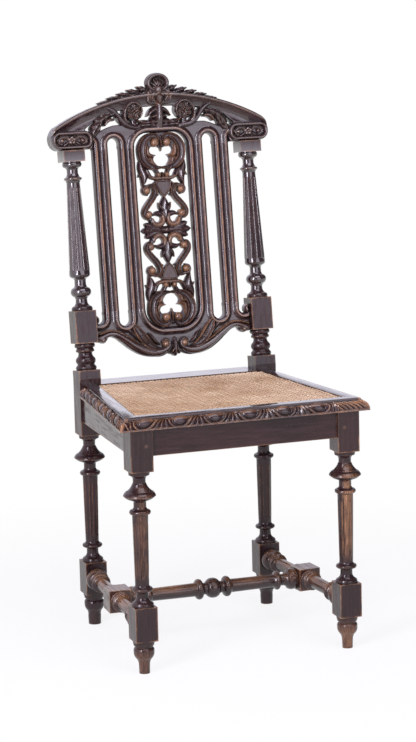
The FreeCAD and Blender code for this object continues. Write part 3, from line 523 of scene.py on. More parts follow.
def crest_rail():
    """Half of the arched rail with its openings, coved band, lozenges, flowers and leaves, mirrored."""
    r = Relief((0, 417.6), (216, 524), 0.8)
    centre_arch = r.round_box((0, 400), (52.5, 47), 27)
    side_arch = r.round_box((93.25, 400), (10.75, 40), 10.75)
    end_gap = r.round_box((154, 400), (20, 38), 8)
    openings = np.minimum(np.minimum(centre_arch, side_arch), end_gap)
    arcade_top = [(0, 458), (30, 458), (50, 459.5), (65, 462.5), (79, 464.5), (90, 464), (100, 461),
                  (113, 456), (124, 450), (134, 443)]
    arcade = r.edge_distance([(-40, 458)] + arcade_top + [(134, SLAT_HIGH), (-40, SLAT_HIGH)])
    upper_edge = r.edge_distance([(-40, 458)] + arcade_top + [(134, 400), (-40, 400)])
    band_face = np.minimum(moulding(openings), 6 + 6 * rounded(np.clip(1 - upper_edge / 5, 0, 1)))
    r.add(EVERYWHERE, band_face, np.minimum(arcade, openings))

    outline = [(u, arc(u)) for u in range(-10, 191, 5)] + [
        (195, 470.5), (201, 467), (206, 462), (210, 456), (212.5, 450), (213.5, 443), (212, 435),
        (208.5, 428.5), (203, 424), (198, 422.5)]
    under_band = [(136, 422.5), (134.5, 430), (135, 445), (139, 453), (147, 458), (143, 462), (136, 467),
                  (128, 475), (116, 482.5), (104, 486.5), (92, 488.5), (78, 490), (40, 495), (-10, 497)]
    band = r.edge_distance(outline + under_band)
    drop = CREST_RADIUS - np.hypot(r.u, r.v - CREST_CENTRE)
    cove = 8.5 + 10.5 * np.clip(1 - (drop - 5) / 17, 0, 1) ** 2
    cove += 5.0 * np.clip((drop - 20) / 20, 0, 1) ** 2
    bead = 14.5 + 5.0 * rounded(np.clip((drop - 3) / 3.2, -1, 1))
    bead_rub = 0.25 * np.exp(-((drop - 3.4) / 1.2) ** 2)
    r.add(EVERYWHERE, np.where(drop < 6.2, np.maximum(bead, cove), cove), band, bead_rub)

    centre, middle = 173.8, 440
    lozenge = -r.round_box((centre, middle), (39.5, 17.3), 15.5)
    border = 10.5 + 9.0 * rounded(np.clip((lozenge - 4.2) / 4.0, -1, 1))
    field = r.height > EMPTY / 2
    r.height = np.where(field & (lozenge > 0), np.where(lozenge < 8.2, border, 10.5), r.height)
    r.rubbed = np.where(lozenge > 0, 0.12 * np.exp(-((lozenge - 4.2) / 1.5) ** 2), r.rubbed)
    for side in (-1, 1):
        r.stroke([(centre + side * 6, 441, 2.4, 15), (centre + side * 13, 447, 3.6, 16.5),
                  (centre + side * 22, 445, 3.8, 16.5), (centre + side * 26, 438, 3.2, 15.5),
                  (centre + side * 21, 433.5, 2.2, 14)], gouged, 10.5)
        r.stroke([(centre + side * 7, 437, 1.8, 14.5), (centre + side * 13, 433, 3.0, 15.5),
                  (centre + side * 18, 431, 1.2, 13)], ridged, 10.5)
        r.dome(centre + side * 19.5, 439.5, 4.0, 17.5, 10.5, 0.25)
        r.dome(centre + side * 29, 441, 2.6, 15.5, 10.5, 0.2)
    for k in range(5):
        a = 2 * math.pi * (k + 0.25) / 5
        r.dome(centre + 5.0 * math.cos(a), middle + 5.0 * math.sin(a), 4.2, 16.5, 10.5, 0.12)
    r.dome(centre, middle, 2.8, 18.5, 10.5, 0.3)

    flower_u, flower_v = 50, 488
    r.stroke([(50, 471, 6, 8), (49, 464, 6, 9), (45, 458, 5, 8)], rounded)
    r.stroke([(42, 458, 5, 10), (57, 460.5, 5.6, 13), (67.5, 465.5, 5.8, 15), (76, 474, 5.4, 16),
              (82.5, 483, 5.2, 16), (90, 490.5, 5.0, 15.5), (101, 496, 3, 14)], rounded, 3)
    r.dome(flower_u, flower_v, 18.5, 11, 4)
    r.stroke([(59, 463, 2.4, 11), (67, 472, 3.4, 15.5), (69, 483, 3.6, 16.5), (65, 495, 3.4, 16.5),
              (55, 503.5, 3.2, 16), (44, 503, 3.0, 15.5), (36, 496, 2.8, 15), (33.5, 486, 2.6, 14),
              (37, 477, 2.0, 12)], rounded, 4, 0.06)
    for k in range(6):
        a = 2 * math.pi * (k + 0.3) / 6
        way_u, way_v = math.cos(a), math.sin(a)
        r.stroke([(flower_u + 4 * way_u, flower_v + 4 * way_v, 2.0, 12),
                  (flower_u + 9 * way_u, flower_v + 9 * way_v, 4.8, 15.5),
                  (flower_u + 13 * way_u, flower_v + 13 * way_v, 3.4, 13)], gouged, 7, 0.05)
    for k in range(4):
        a = 2 * math.pi * (k + 0.1) / 4
        r.dome(flower_u + 3.0 * math.cos(a), flower_v + 3.0 * math.sin(a), 2.6, 16.5, 7, 0.1)

    r.stroke([(0, 454, 6.4, 12), (0, 464, 7.4, 16), (0, 474, 8.4, 19), (0, 484, 8.0, 19.5),
              (0, 493, 7.0, 19), (0, 503, 7.0, 17)], rounded, 3, 0.03)
    r.stroke([(2, 491, 4.6, 13), (9, 489, 5.6, 14.5), (16, 484.5, 4.4, 13.5), (23, 477.5, 0.9, 10)],
             ridged, 3)
    r.stroke([(2, 480, 4.4, 13), (9, 477.5, 4.4, 13.5), (16, 474.5, 0.9, 10)], ridged, 3)
    r.stroke([(1, 467, 5.4, 12), (12, 467, 6.2, 13.5), (24, 466, 6.0, 13), (36, 468, 4.0, 12),
              (45, 472, 1.0, 9)], ridged, 3, lobes=3)
    r.stroke([(0, 459, 5.0, 11), (20, 461, 5.0, 12), (36, 461, 4.6, 11.5), (48, 459, 3.6, 9)],
             ridged, 3, lobes=4)

    r.stroke([(84, 486, 2.5, 12), (97, 483, 6.0, 14), (109, 478.5, 8.0, 16), (120, 470, 8.6, 17),
              (128, 459, 8.0, 16.5), (133, 448, 6.0, 14), (134, 438, 3.4, 12)], ridged, 4, 0.04, lobes=6)
    r.stroke([(90, 474.5, 2.8, 11), (97, 474.5, 3.6, 13.5), (103, 471.5, 3.8, 14.5), (107, 466, 2.8, 12)],
             rounded, 3, 0.15)
    r.stroke([(112, 474, 3, 12), (117, 465, 4.4, 14.5), (121, 456, 4.4, 13.5), (129, 447, 3.4, 12)],
             ridged, 4, lobes=3)
    edge_rub = arris_rub(openings) * (arcade > -1)
    r.rubbed = np.where(r.height < MOULDING_TOP + 0.6, np.maximum(r.rubbed, edge_rub), r.rubbed)
    r.sheltered = np.where((r.v < SLAT_HIGH + 6) & (r.u < 135), 1.0, r.sheltered)
    back = np.where((r.u > 139) & (r.v < 466), -19.0, -9.0)
    back = np.hstack([back[:, :0:-1], back])
    r.mirrored()
    return carve("crest_rail_carving", r, back, across, ["crest_rail"])


def crest_boss():
    """A shell in an oval ring over a tablet with a leaf drop."""
    r = Relief((0, 496), (27, 560), 0.6)
    tablet = r.edge_distance([
        (-5, 528), (16, 527), (22, 523), (24.5, 516), (24, 504), (20, 498.5), (-5, 497.5)])
    r.add(EVERYWHERE, 13 + 7 * (r.u / 24) ** 2, tablet)
    oval = np.hypot(r.u / 24.0, (r.v - 538.5) / 19.5)
    rim = (1 - oval) * 21
    ring = 4 + 14 * rounded(np.clip((rim - 4.8) / 4.8, -1, 1))
    dish = 5 + 4 * np.clip(oval / 0.6, 0, 1) ** 2
    bowl = np.maximum(np.where(rim < 9.6, ring, 0), dish)
    r.add(EVERYWHERE, np.where(rim < 4.8, ring, bowl), rim, 0.05)
    for k in range(4):
        a = math.radians(90 - 27 * k)
        tip = (12.5 * math.cos(a) * 1.15, 528 + 18.0 * math.sin(a))
        r.stroke([(1.5 * math.cos(a), 529, 1.6, 17),
                  (tip[0] * 0.6, 528 + (tip[1] - 528) * 0.6, 3.2, 15.5), (tip[0], tip[1], 3.4, 11)],
                 rounded, 5, 0.10)
    r.stroke([(0, 533, 4.0, 17), (0, 527, 7.4, 22), (0, 520, 5.0, 20)], rounded, 12, 0.08)
    r.stroke([(3, 522, 2.0, 18), (10, 521, 4.6, 20), (15, 514, 5.0, 20.5), (12, 506, 3.0, 18)],
             gouged, 12, 0.05)
    r.stroke([(0, 520, 4.4, 21), (0, 512, 8.0, 27), (0, 504, 6.4, 25), (0, 499, 2.4, 19)],
             ridged, 12, 0.08)
    r.mirrored()
    return carve("crest_boss_carving", r, 1.0, across, ["crest_boss"], 4.0)


def crest_leaf(side):
    """A strip of overlapping leaves along the top of the crest."""
    r = Relief((14, 494), (122, 541), 0.7)
    base = r.edge_distance([(u, arc(u) - 5) for u in range(16, 118, 6)]
                           + [(u, arc(u) + 2.5) for u in range(116, 15, -6)])
    r.add(EVERYWHERE, 8.0, base)
    for k in range(5):
        start, middle, tip = 15 + 19.5 * k, 27 + 19.5 * k, 39 + 19.5 * k
        rise = 15 - 3.0 * k
        wide = 6.6 * (rise / 15) ** 0.5
        r.stroke([(start, arc(start) + 1, wide * 0.8, 9), (middle, arc(middle) + 0.55 * rise, wide, 13),
                  (tip, arc(tip) + rise, 1.2, 10)], ridged, 5, lobes=3)
    if side < 0:
        r.u = -r.u[:, ::-1]
        for name in ("v",) + LAYERS:
            setattr(r, name, getattr(r, name)[:, ::-1])
    end = "left" if side < 0 else "right"
    return carve("crest_leaf_carving_" + end, r, -7, across, ["crest_leaf_" + end])


def lower_back_rail():
    """Half of the lower rail with its bays, a long scroll along the bottom and leaves, mirrored."""
    r = Relief((0, 24), (156, 124), 0.7)
    centre_bay = r.round_box((0, 140), (52.5, 58), 38)
    side_bay = r.round_box((93.25, 140), (10.75, 48.5), 10.75)
    end_bay = r.round_box((143.75, 140), (9.75, 41.5), 9.0)
    openings = np.minimum(np.minimum(centre_bay, side_bay), end_bay)
    bottom = smooth_line([
        (-20, 29), (0, 31), (6, 31.5), (11, 34.5), (25, 29), (40, 28.5), (60, 34), (80, 47), (100, 63),
        (115, 72.5), (127, 72), (131.5, 66), (139, 61.5), (147, 64), (153.5, 66)])
    plate = r.edge_distance(list(bottom) + [(153.5, 114), (134, SLAT_LOW), (-20, SLAT_LOW)])
    field = np.where(openings < 15, moulding(openings), 6.0)
    r.add(EVERYWHERE, field, np.minimum(plate, openings))
    edge = r.edge_distance(list(bottom) + [(153.5, 160), (-20, 160)])

    r.stroke([(154, 71, 5, 12), (146, 70, 6.5, 15), (138, 74, 5.5, 15), (126, 77.5, 5.6, 15.5),
              (112, 75, 6.5, 16.5), (98, 66, 7.8, 17.5), (82, 54, 9.0, 18.5), (64, 43.5, 9.5, 19.5),
              (46, 37.5, 8.6, 19.5), (31, 37.5, 7.2, 18.5), (20, 41, 5.6, 17), (12.5, 47, 4.4, 16),
              (12, 55, 3.6, 15.5), (18, 60, 3.0, 15), (25, 56.5, 2.4, 14)], rounded, 6, 0.05)
    r.stroke([(150, 78, 1.3, 14), (138, 81.5, 1.5, 15.5), (124, 84, 1.5, 15.5), (110, 81, 1.5, 16),
              (94, 72, 1.6, 17), (76, 60, 1.6, 18), (60, 51, 1.5, 18)], rounded, 7, 0.5)
    r.dome(139.5, 67.5, 6.2, 17, 4, 0.15)
    r.dome(18.5, 51.5, 7.6, 18.5, 6, 0.55)
    r.stroke([(84, 93, 2, 10), (77, 88, 5, 14), (70, 77, 8.5, 17), (61, 64, 9.5, 18), (50, 52, 7.5, 17),
              (38, 46, 3.5, 15), (30, 45, 1.2, 12)], gouged, 6, 0.04, rim=0.6)
    r.stroke([(66, 73, 1.0, 14), (60, 64, 2.2, 15.5), (52, 55, 1.0, 14)], ridged, 9, 0.3)
    r.stroke([(52, 74, 1.2, 9), (44, 66, 2.6, 12), (38, 57, 2.8, 13), (31, 52, 1.2, 11)], ridged, 6)
    r.stroke([(96, 83, 1.5, 9), (88, 82, 3.5, 12), (80, 74, 3.8, 13), (74, 66, 2, 12)],
             ridged, 6, lobes=2)
    r.stroke([(0, 62, 1.5, 12), (0, 55, 5.0, 17), (0, 46, 5.6, 18), (0, 38, 4.6, 17.5),
              (0, 31.5, 4.2, 15)], ridged, 6)
    r.stroke([(1, 44, 2, 14), (5.5, 39, 3.0, 16), (8, 33.5, 2.6, 14)], rounded, 5)
    r.stroke([(153, 103, 3.5, 10), (148.5, 103, 4.2, 13), (148, 109, 3.2, 12), (152, 112, 3, 10)],
             rounded, 3, 0.1)
    inside_edge = np.clip(edge / 2.5, 0, 1)
    r.height = np.where(r.height > EMPTY / 2, r.height * (0.8 + 0.2 * inside_edge), r.height)
    r.inside = np.minimum(r.inside, 153.5 - r.u)
    edge_rub = arris_rub(openings)
    r.rubbed = np.where(r.height < MOULDING_TOP + 0.6, np.maximum(r.rubbed, edge_rub), r.rubbed)
    r.sheltered = np.where(((r.v > SLAT_LOW - 6) & (r.u < 135)) | (r.u > 148), 1.0, r.sheltered)
    r.mirrored()
    return carve("lower_back_rail_carving", r, -9, across, ["lower_back_rail"])


def back_splat():
    """A quarter of the pattern, measured from the splat's middle, doubled across and down."""
    r = Relief((0, 0), (49, 182.5), 0.75)
    block = r.edge_distance([(-20, 168), (12, 168), (16, 174), (15, 190), (-20, 190)])
    r.add(EVERYWHERE, 6.0, block)
    heart = r.edge_distance(smooth_line([
        (-14, 179), (14, 179), (28, 175), (39, 164), (45.5, 151), (46.5, 138), (42, 125), (31, 116),
        (14, 113.5), (0, 115), (-14, 113.5)]))
    trefoil = r.edge_distance(smooth_line([
        (-9, 156), (-3, 153), (0, 148), (3, 153), (9, 156), (15, 157), (20, 155), (22.5, 150), (21, 145),
        (17, 141.5), (12, 139.5), (14.5, 136), (15.5, 131), (13.5, 125), (8, 120.5), (0, 118.5),
        (-8, 120.5), (-13.5, 125), (-15.5, 131), (-14.5, 136), (-12, 139.5), (-20, 150)]))
    r.add(EVERYWHERE, 4.5, np.minimum(heart, -trefoil))
    r.stroke([(7, 170, 5.0, 10), (12, 176, 5.2, 10), (22, 175.5, 6.0, 10.5), (32, 168, 7.6, 11.5),
              (38, 156, 8.6, 12), (38.6, 143, 8.4, 12), (35, 131, 8.2, 11.5), (26, 121.5, 7.2, 10.5),
              (13, 117, 4.6, 10), (0, 116.8, 2.2, 9)], gouged, 1, 0.02, lean=0.8)
    r.stroke([(27, 160, 2.5, 8), (27.5, 150, 4.6, 10), (25.5, 141.5, 5.2, 11.5), (19, 139.5, 3.4, 11),
              (11.5, 140, 0.9, 8)], ridged, 2, 0.4)
    r.stroke([(29, 133, 3.5, 9), (22, 133, 5.0, 11), (18.5, 126, 4.6, 10.5), (10, 119.5, 1.6, 9)],
             ridged, 2, 0.25)
    r.dome(11.8, 163.5, 8.4, 13.5, 4, 0.5)
    r.stroke([(0, 174, 5.0, 9), (0, 162, 3.6, 11), (0, 153, 2.4, 10), (0, 147.5, 0.8, 8)], ridged, 1)
    r.stroke([(19, 118, 3.4, 8), (13, 112.5, 4.0, 9), (8.5, 105, 4.0, 10)], rounded, 1)
    r.dome(8.2, 103, 5.4, 12.5, 3, 0.55)
    r.stroke([(0, 97, 3.8, 10), (10, 96.5, 3.8, 10), (20, 98, 3.6, 9.5), (27, 102, 3.4, 9)],
             rounded, 1, 0.25)
    r.stroke([(0, 107, 1.6, 8), (0, 100, 4.0, 10), (0, 94, 4.0, 9)], ridged, 1)
    r.stroke([(44, 128, 2.5, 8), (41.5, 117, 6.5, 10.5), (37, 106, 8.6, 12), (37, 96, 6.6, 11.5),
              (39.5, 88, 3.4, 10), (41, 81, 0.9, 8)], ridged, 1, 0.02)
    r.stroke([(38, 113, 4.5, 9), (43.5, 106, 3.4, 10), (48, 101, 0.8, 8)], ridged, 1)
    r.stroke([(31, 113, 4, 9), (28, 105, 5.0, 10.5), (22, 98, 3, 9)], ridged, 1)
    shield = r.edge_distance(smooth_line([
        (-12, 93), (13.5, 93), (15.5, 90), (14.5, 81), (10, 71), (4, 63.5), (0, 60),
        (-4, 63.5), (-10, 71), (-14, 82)]))
    shield_rim = rounded(np.clip((shield - 1.6) / 1.6, -1, 1)) * (shield < 3.2)
    r.add(EVERYWHERE, 6.2 + 2.4 * shield_rim, shield, 0.06)
    r.stroke([(30, 82.5, 3.5, 9), (23.5, 83.5, 4.2, 10), (18.5, 78, 4.8, 10.5), (18, 70, 5.2, 10.5),
              (23, 60, 5.6, 10.5), (31.5, 50, 5.8, 10.5), (39, 40, 5.4, 10.5), (41.5, 31.5, 4.6, 10),
              (38, 24.5, 4.0, 9.5), (31, 22.5, 3.4, 9)], gouged, 1, 0.05, lean=-0.6)
    r.stroke([(30, 83, 3.2, 9), (37, 82, 3.4, 9.5), (41, 76, 3.0, 9.5), (39, 69.5, 2.6, 9),
              (33, 67, 2.2, 8.5)], rounded, 1, 0.1)
    r.dome(33.2, 74.5, 7.2, 12.5, 3, 0.55)
    r.dome(32.6, 30.2, 7.2, 12.5, 3, 0.55)
    r.stroke([(17, 88, 2.4, 8.5), (21, 84.5, 2.4, 9)], rounded, 1)
    r.stroke([(12, 66, 2.0, 8.5), (17, 64, 3.0, 9)], rounded, 1)
    r.stroke([(0, 64, 0.9, 8), (0, 57, 4.6, 10.5), (0, 49, 8.4, 12), (0, 40, 9.6, 12.5),
              (0, 32, 7.4, 12), (0, 24, 6.0, 11)], ridged, 1)
    r.stroke([(3, 36, 4.8, 10.5), (9, 43, 4.0, 10.5), (12, 51, 0.8, 8)], ridged, 1)
    r.stroke([(3, 26, 4.8, 10), (11, 30.5, 5.6, 10.5), (18, 31, 4.2, 10), (24.5, 27.5, 0.9, 8)],
             ridged, 1)
    r.stroke([(6, 28, 4.2, 10), (5, 18.5, 5.2, 11.5), (9.5, 11.5, 5.6, 12), (17.5, 10, 5.6, 12),
              (24.5, 14, 5.0, 11.5), (26.5, 20, 3.6, 10)], rounded, 1, 0.4)
    r.stroke([(25, 14, 4.0, 9), (29.5, 19, 4.0, 9), (31, 25, 3.6, 9)], rounded, 1)
    r.stroke([(0, 0, 7.5, 9), (16, 0, 7.4, 11), (28, 0, 8.0, 12), (40, 0, 6.5, 11), (48, 0, 1.0, 8)],
             ridged, 1)
    r.stroke([(16, 4, 5.4, 9), (26, 6, 7.0, 10.5), (36, 10, 5.5, 10.5), (42, 12.5, 1.0, 8)], ridged, 1)
    r.stroke([(12, 7, 4.4, 9), (20, 9, 5.0, 10), (27, 14, 4.5, 10), (31, 18, 0.8, 8)], ridged, 1)
    r.dome(0, 0, 6.5, 12, 2, 0.05)
    r.doubled()
    r.mirrored()
    return carve("back_splat_carving", r, -5, upright, ["back_splat"], 1.6, 264.5)


def back_slat(name, centre):
    """A slat with two arrises and a cove between them, its edges rubbed along their whole length, the
    left one more as painted light from the left.
    """
    across_slat = np.linspace(-SLAT_HALF, SLAT_HALF, 61)
    edge = SLAT_HALF - np.abs(across_slat)
    back = [(SLAT_HALF, -6), (SLAT_HALF - 1, -7), (1 - SLAT_HALF, -7), (-SLAT_HALF, -6)]
    ring = np.concatenate([np.stack([across_slat, moulding(edge)], 1), back])
    # Both arrises are rubbed as wear. The left one is rubbed more, which paints the light that falls on
    # it from the lamp on the left.
    rub = np.concatenate([arris_rub(edge, np.where(across_slat < 0, 0.8, 0.5), 1.5), np.zeros(4)])
    levels = np.linspace(SLAT_LOW, SLAT_HIGH, 9)
    flat = np.concatenate([
        np.stack([ring[:, 0] + centre, np.full(len(ring), v), ring[:, 1]], 1) for v in levels])
    faces = tube_faces(len(ring), len(levels))
    at_joint = np.where(np.minimum(flat[:, 1] - SLAT_LOW, SLAT_HIGH - flat[:, 1]) < 1, 1.0, 0.6)
    return set_piece("slat_moulding_" + name, on_back(flat), faces, upright, ["back_slat_" + name],
                     rubbed=np.tile(rub, len(levels)), sheltered=at_joint, smooth=35)


# Seat edge: the top edge of the frame runs along these lines, offsets are measured outwards from it
SEAT_LOW = 438.0
FRAME_FRONT = -216.124
FRAME_HALF = 219.5
SIDE_SLOPE = 0.1077
SIDE_STRETCH = math.sqrt(1 + SIDE_SLOPE ** 2)
POST_FACE = 127.776
FRONT_LENGTH = 452.0
SIDE_LENGTH = 350.0
OVOLO_WIDTH = 11.0
OVOLO_HEIGHT = 15.0
OVOLO_LENGTH = 20.6
EGG_PITCH = 64.0
EGG_SHIFT = 7.0
LEAF_PITCH = 9.0
LEAF_SLANT = 0.8
CORNER_LEAF = 16
LONG_LEAF = 56


def frame_half_width(y, out):
    """Half-width of the seat frame at a place from front to back."""
    return FRAME_HALF - SIDE_SLOPE * (y - FRAME_FRONT) + out * SIDE_STRETCH


def egg_and_leaf(along, up, corner, leaf):
    """Carving of the seat edge: its height and how far it is rubbed.

    Along is in mm from an egg, up goes from 0 to 1, corner is the distance from the nearest mitre,
    and leaf is how far inside the slanted leaf that ends the row, or negative.
    """
    rise = (up - 0.5) * OVOLO_LENGTH
    from_egg = (along + EGG_PITCH / 2) % EGG_PITCH - EGG_PITCH / 2
    beside = EGG_PITCH / 2 - np.abs(from_egg)
    fan = np.degrees(np.arctan2(beside, 14 - rise))
    whole = leaf < 0
    turns = np.where(whole, fan / 25, (along + LEAF_SLANT * rise) / LEAF_PITCH)
    veins = 0.5 + 0.5 * np.cos(turns * 2 * np.pi)
    height = -3.0 + 3.8 * veins ** 0.7
    rubbed = 0.35 * np.exp(-(np.hypot(beside, 14 - rise) / 9) ** 2)
    cup = np.hypot(from_egg / 21.0, (rise - 8.5) / 19.5)
    bowl = np.hypot(from_egg / 14.5, (rise - 7.5) / 15.0)
    in_cup = whole & (cup < 1.12)
    in_bowl = whole & (bowl < 1)
    height = np.where(in_cup, -3.0 + 4.4 * rounded(np.clip((cup - 1) / 0.12, -1, 1)), height)
    height = np.where(in_bowl, -2.8 + 5.6 * rounded(np.clip(bowl, 0, 1)), height)
    rubbed = np.where(in_cup, 0.6 * np.clip((rise - 2) / 4, 0, 1) * (cup < 0.95), rubbed)
    rubbed = np.where(in_bowl, 0.7 * np.clip((rise - 0.5) / 4, 0, 1), rubbed)
    rubbed = np.where(corner < 5, 0.6, rubbed)
    fade = np.clip(np.minimum(up, 1 - up) / 0.07, 0, 1)
    return height * fade, np.where(up < 0.06, 0.4, rubbed)


def seat_edge(name, length, place, leaves, replaced, finish, shift, handled):
    """A carved side of the seat frame.

    Place gives the points at offsets outwards, heights and a way along. Leaves are the lengths of the
    slanted leaves at its two ends, the second 0 where it meets a post.
    """
    turn = np.linspace(0, np.pi / 2, 30)
    ovolo = np.stack([
        2 + OVOLO_WIDTH * np.cos(turn), SEAT_LOW + 2.5 + OVOLO_HEIGHT * np.sin(turn)], 1)
    square_to = np.stack([np.cos(turn) * OVOLO_HEIGHT, np.sin(turn) * OVOLO_WIDTH], 1)
    square_to /= np.hypot(*square_to.T)[:, None]
    plain = np.array([
        (1.6, 17.6), (1.7, 20.6), (1.2, 21.6), (0.2, 22), (-20.6, 22), (-21.4, 21.4), (-21.4, 19),
        (-29.4, 19), (-29.4, 0), (12.6, 0), (13.4, 0.6)]) + (0, SEAT_LOW)
    steps = int(length / 0.9)
    ways = np.linspace(0, 1, steps + 1)
    up = np.linspace(0, 1, len(turn))
    along, upward = np.meshgrid(ways * length - length / 2, up, indexing="ij")
    corner = along + length / 2
    leaf = leaves[0] - corner
    if leaves[1]:
        leaf = np.maximum(leaf, leaves[1] - (length / 2 - along))
        corner = np.minimum(corner, length / 2 - along)
    height, rub = egg_and_leaf(along - shift, upward, corner, leaf)
    height = height * np.clip(corner / 4, 0, 1)
    rows = []
    rubs = []
    for k, way in enumerate(ways):
        carved = ovolo + square_to * height[k][:, None]
        section = np.concatenate([carved, plain])
        rows.append(place(section[:, 0], section[:, 1], way))
        rubs.append(np.concatenate([rub[k] * handled, np.zeros(len(plain))]))
    points = np.concatenate(rows) * MM
    faces = tube_faces(len(turn) + len(plain), len(ways), inward=True)
    return set_piece(name, points, faces, finish, replaced, rubbed=np.concatenate(rubs), smooth=40)


def seat_front():
    """The front edge, from mitre to mitre."""
    def place(out, z, way):
        half = frame_half_width(FRAME_FRONT - out, out)
        return np.stack([half * (2 * way - 1), FRAME_FRONT - out, z], 1)
    leaves = (CORNER_LEAF, LONG_LEAF)
    return seat_edge("seat_edge_front", FRONT_LENGTH, place, leaves, ["seat_frame_front"], frame_across,
                     shift=EGG_SHIFT, handled=0.75)


def seat_side(side):
    """A side edge, from its mitre to the post."""
    def place(out, z, way):
        y = (FRAME_FRONT - out) * (1 - way) + POST_FACE * way
        return np.stack([side * frame_half_width(y, out), y, z], 1)
    end = "left" if side < 0 else "right"
    leaves = (CORNER_LEAF, 0)
    piece = seat_edge("seat_edge_side_" + end, SIDE_LENGTH, place, leaves, ["seat_frame_side_" + end],
                      frame_lengthwise, shift=0.0, handled=0.4)
    if side < 0:
        piece.data.flip_normals()
    return piece


# Six-way caning: pairs front to back and side to side, and two diagonals that cross between them
CANE_PITCH = 12.1
PAIR_HALF = 1.6
ROW_HALF = 1.6
STRAND_HALF = 0.85
CANE_LEVEL = 458.0
CANE_IN = 21.0
ROW_LIFT = 0.35
WEAVE_LIFT = 0.35
SLANT_LIFT = 0.55


def strand_points(points, lift, half_width):
    """A thin split strand along a row of (x, y) points, closed, with a rounded back."""
    path = np.array(points, float)
    run = np.gradient(path, axis=0)
    run /= np.hypot(*run.T)[:, None]
    side = np.stack([-run[:, 1], run[:, 0]], 1) * half_width
    level = CANE_LEVEL + np.array(lift)
    edges = [np.column_stack([path + side, level - 0.25]), np.column_stack([path - side, level - 0.25]),
             np.column_stack([path, level + 0.45])]
    made = np.stack(edges, 1).reshape(-1, 3)
    count = len(path)
    faces = [(0, 1, 2), (3 * count - 1, 3 * count - 2, 3 * count - 3)]
    for k in range(count - 1):
        for a, b in ((0, 1), (1, 2), (2, 0)):
            faces.append((3 * k + a, 3 * k + 3 + a, 3 * k + 3 + b, 3 * k + b))
    return made, faces


def inside_seat(start, direction):
    """The stretch of a line that lies inside the seat opening."""
    walls = [((0, FRAME_FRONT + CANE_IN), (0, 1)), ((0, POST_FACE), (0, -1))]
    for s in (-1, 1):
        walls.append(((s * frame_half_width(FRAME_FRONT, -CANE_IN), FRAME_FRONT), (-s, -SIDE_SLOPE)))
    low, high = -1e4, 1e4
    for at, inward in walls:
        rate = direction[0] * inward[0] + direction[1] * inward[1]
        room = (start[0] - at[0]) * inward[0] + (start[1] - at[1]) * inward[1]
        if abs(rate) < 1e-9:
            if room < 0:
                return None
        elif rate > 0:
            low = max(low, -room / rate)
        else:
            high = min(high, -room / rate)
    return (low, high) if high - low > 6 else None


def woven_cane():
    """All strands of the seat, each from edge to edge over and under the ones it meets."""
    strands = []
    middle_y = (FRAME_FRONT + CANE_IN + POST_FACE) / 2
    reach = 30

    def lay(start, way, stops, margin, half_width):
        span = inside_seat(start, way)
        if span is None:
            return
        kept = [stop for stop in stops if span[0] + margin < stop[0] < span[1] - margin]
        kept = [(span[0], 0)] + kept + [(span[1], 0)]
        path = [(start[0] + way[0] * t, start[1] + way[1] * t) for t, _ in kept]
        strands.append((path, [z for _, z in kept], half_width))

    crossings = [((m + 0.5) * CANE_PITCH + s * PAIR_HALF, s)
                 for m in range(-reach, reach) for s in (-1, 1)]
    for place, pair in crossings:
        stops = [(t, ROW_LIFT + pair * s * WEAVE_LIFT) for t, s in crossings]
        lay((place, middle_y), (0, 1), stops, 1.0, ROW_HALF)
        lay((0, middle_y + place), (1, 0), [(t, -z) for t, z in stops], 1.0, STRAND_HALF)
    for k in range(-2 * reach, 2 * reach):
        for slant in (-1, 1):
            stops = [(m * CANE_PITCH / 2, (SLANT_LIFT if m % 2 == 0 else -SLANT_LIFT) * slant)
                     for m in range(-4 * reach, 4 * reach)]
            lay(((k + 0.5) * CANE_PITCH, middle_y), (slant, 1), stops, 1.5, STRAND_HALF)
    points = []
    faces = []
    total = 0
    for path, lift, half_width in strands:
        made, sides = strand_points(path, lift, half_width)
        points.append(made)
        faces += [[i + total for i in face] for face in sides]
        total += len(made)
    points = np.concatenate(points) * MM
    return set_piece("woven_cane", points, faces, cane, ["cane_panel"], smooth=60)


crest_rail()
crest_boss()
crest_leaf(-1)
crest_leaf(1)
lower_back_rail()
back_splat()
for slat_name, slat_centre in (
        ("inner_left", -67.5), ("inner_right", 67.5), ("outer_left", -119.0), ("outer_right", 119.0)):
    back_slat(slat_name, slat_centre)
seat_front()
seat_side(-1)
seat_side(1)
woven_cane()

# Floor, light and camera
bpy.ops.object.select_all(action="DESELECT")
bpy.ops.mesh.primitive_plane_add(size=160, location=(0, 0, 0))
floor = bpy.context.object
floor.name = "studio_floor"
f = Finish("pale_floor")
camera_ray = f.node("ShaderNodeLightPath", output=0)
glossy_ray = f.node("ShaderNodeLightPath", output=3)
seen = camera_ray.math("MAXIMUM", glossy_ray)
place = f.node("ShaderNodeTexCoord", output=3)
away = f.node("ShaderNodeVectorMath", {"operation": "LENGTH"}, {0: place}, 1)
bright = seen * (0.84 + f.ramp(away, 0.45, 1.2) * 0.16)
paper = f.node("ShaderNodeBsdfDiffuse", {}, {"Color": (0.86, 0.85, 0.92, 1)})
glow = f.node("ShaderNodeEmission", {}, {"Color": (1, 1, 1, 1), "Strength": 1.0})
floor.data.materials.append(f.done(f.node("ShaderNodeMixShader", {}, {0: bright, 1: paper, 2: glow})))

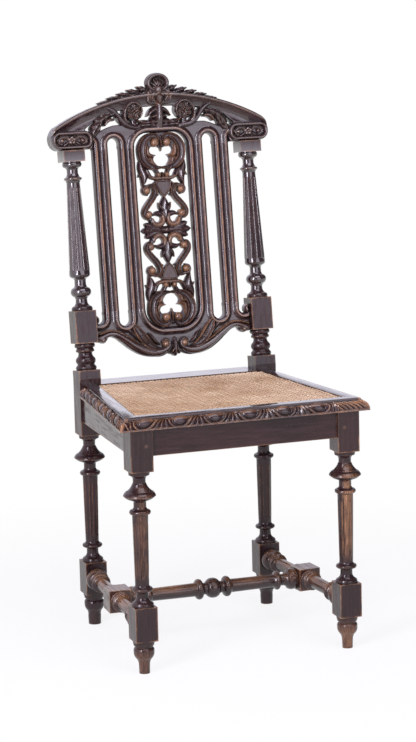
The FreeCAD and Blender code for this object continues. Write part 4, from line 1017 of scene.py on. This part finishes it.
world = bpy.data.worlds.new("studio")
bpy.context.scene.world = world
f = Finish("studio", world)
way = f.node("ShaderNodeTexCoord", output=0)
toward = f.node("ShaderNodeVectorMath", {"operation": "DOT_PRODUCT"}, {0: way, 1: (-0.2, 0.95, 0.24)}, 1)
wall = f.node("ShaderNodeVectorMath", {"operation": "DOT_PRODUCT"}, {0: way, 1: (-0.97, -0.24, 0.06)}, 1)
strength = 0.15 + f.ramp(toward, 0.5, 0.85) * 1.05 + f.ramp(wall, 0.6, 0.85)
sky = f.node("ShaderNodeBackground", {}, {"Color": (0.90, 0.88, 1.0, 1), "Strength": strength})
f.done(sky, "ShaderNodeOutputWorld")


def soft_lamp(name, place, aim, width, height, power):
    """A rectangular lamp turned towards a point."""
    lamp = bpy.data.lights.new(name, "AREA")
    lamp.shape = "RECTANGLE"
    lamp.size = width
    lamp.size_y = height
    lamp.energy = power
    lamp.color = (0.91, 0.88, 1.0)
    holder = bpy.data.objects.new(name, lamp)
    bpy.context.scene.collection.objects.link(holder)
    holder.location = place
    holder.rotation_euler = (Vector(aim) - Vector(place)).to_track_quat("-Z", "Y").to_euler()


soft_lamp("key_left", (-2.4, -1.9, 1.5), (0, 0, 0.7), 0.65, 2.6, 95)
soft_lamp("fill_right", (1.0, -3.4, 1.3), (0, 0, 0.7), 2.6, 1.8, 34)
soft_lamp("above", (0.2, -1.5, 2.9), (0, 0, 0.6), 2.4, 1.6, 50)

CAMERA_PLACE = (-1.60507, -4.48742, 1.32896)
YAW = 0.3458
PITCH = -0.1739
ROLL = -0.0243
FOCAL_PIXELS = 2649.83
IMAGE_HEIGHT = 742
SENSOR = 36
camera_data = bpy.data.cameras.new("photo_camera")
camera_data.sensor_width = SENSOR
camera_data.lens = FOCAL_PIXELS / IMAGE_HEIGHT * SENSOR
camera = bpy.data.objects.new("photo_camera", camera_data)
bpy.context.scene.collection.objects.link(camera)
ahead = Vector((math.sin(YAW) * math.cos(PITCH), math.cos(YAW) * math.cos(PITCH), math.sin(PITCH)))
right = Vector((math.cos(YAW), -math.sin(YAW), 0))
up = right.cross(ahead)
camera_x = right * math.cos(ROLL) + up * math.sin(ROLL)
camera_y = up * math.cos(ROLL) - right * math.sin(ROLL)
turned = Matrix((camera_x, camera_y, -ahead)).transposed().to_4x4()
camera.matrix_world = Matrix.Translation(CAMERA_PLACE) @ turned
bpy.context.scene.camera = camera
bpy.context.scene.view_settings.view_transform = "Standard"
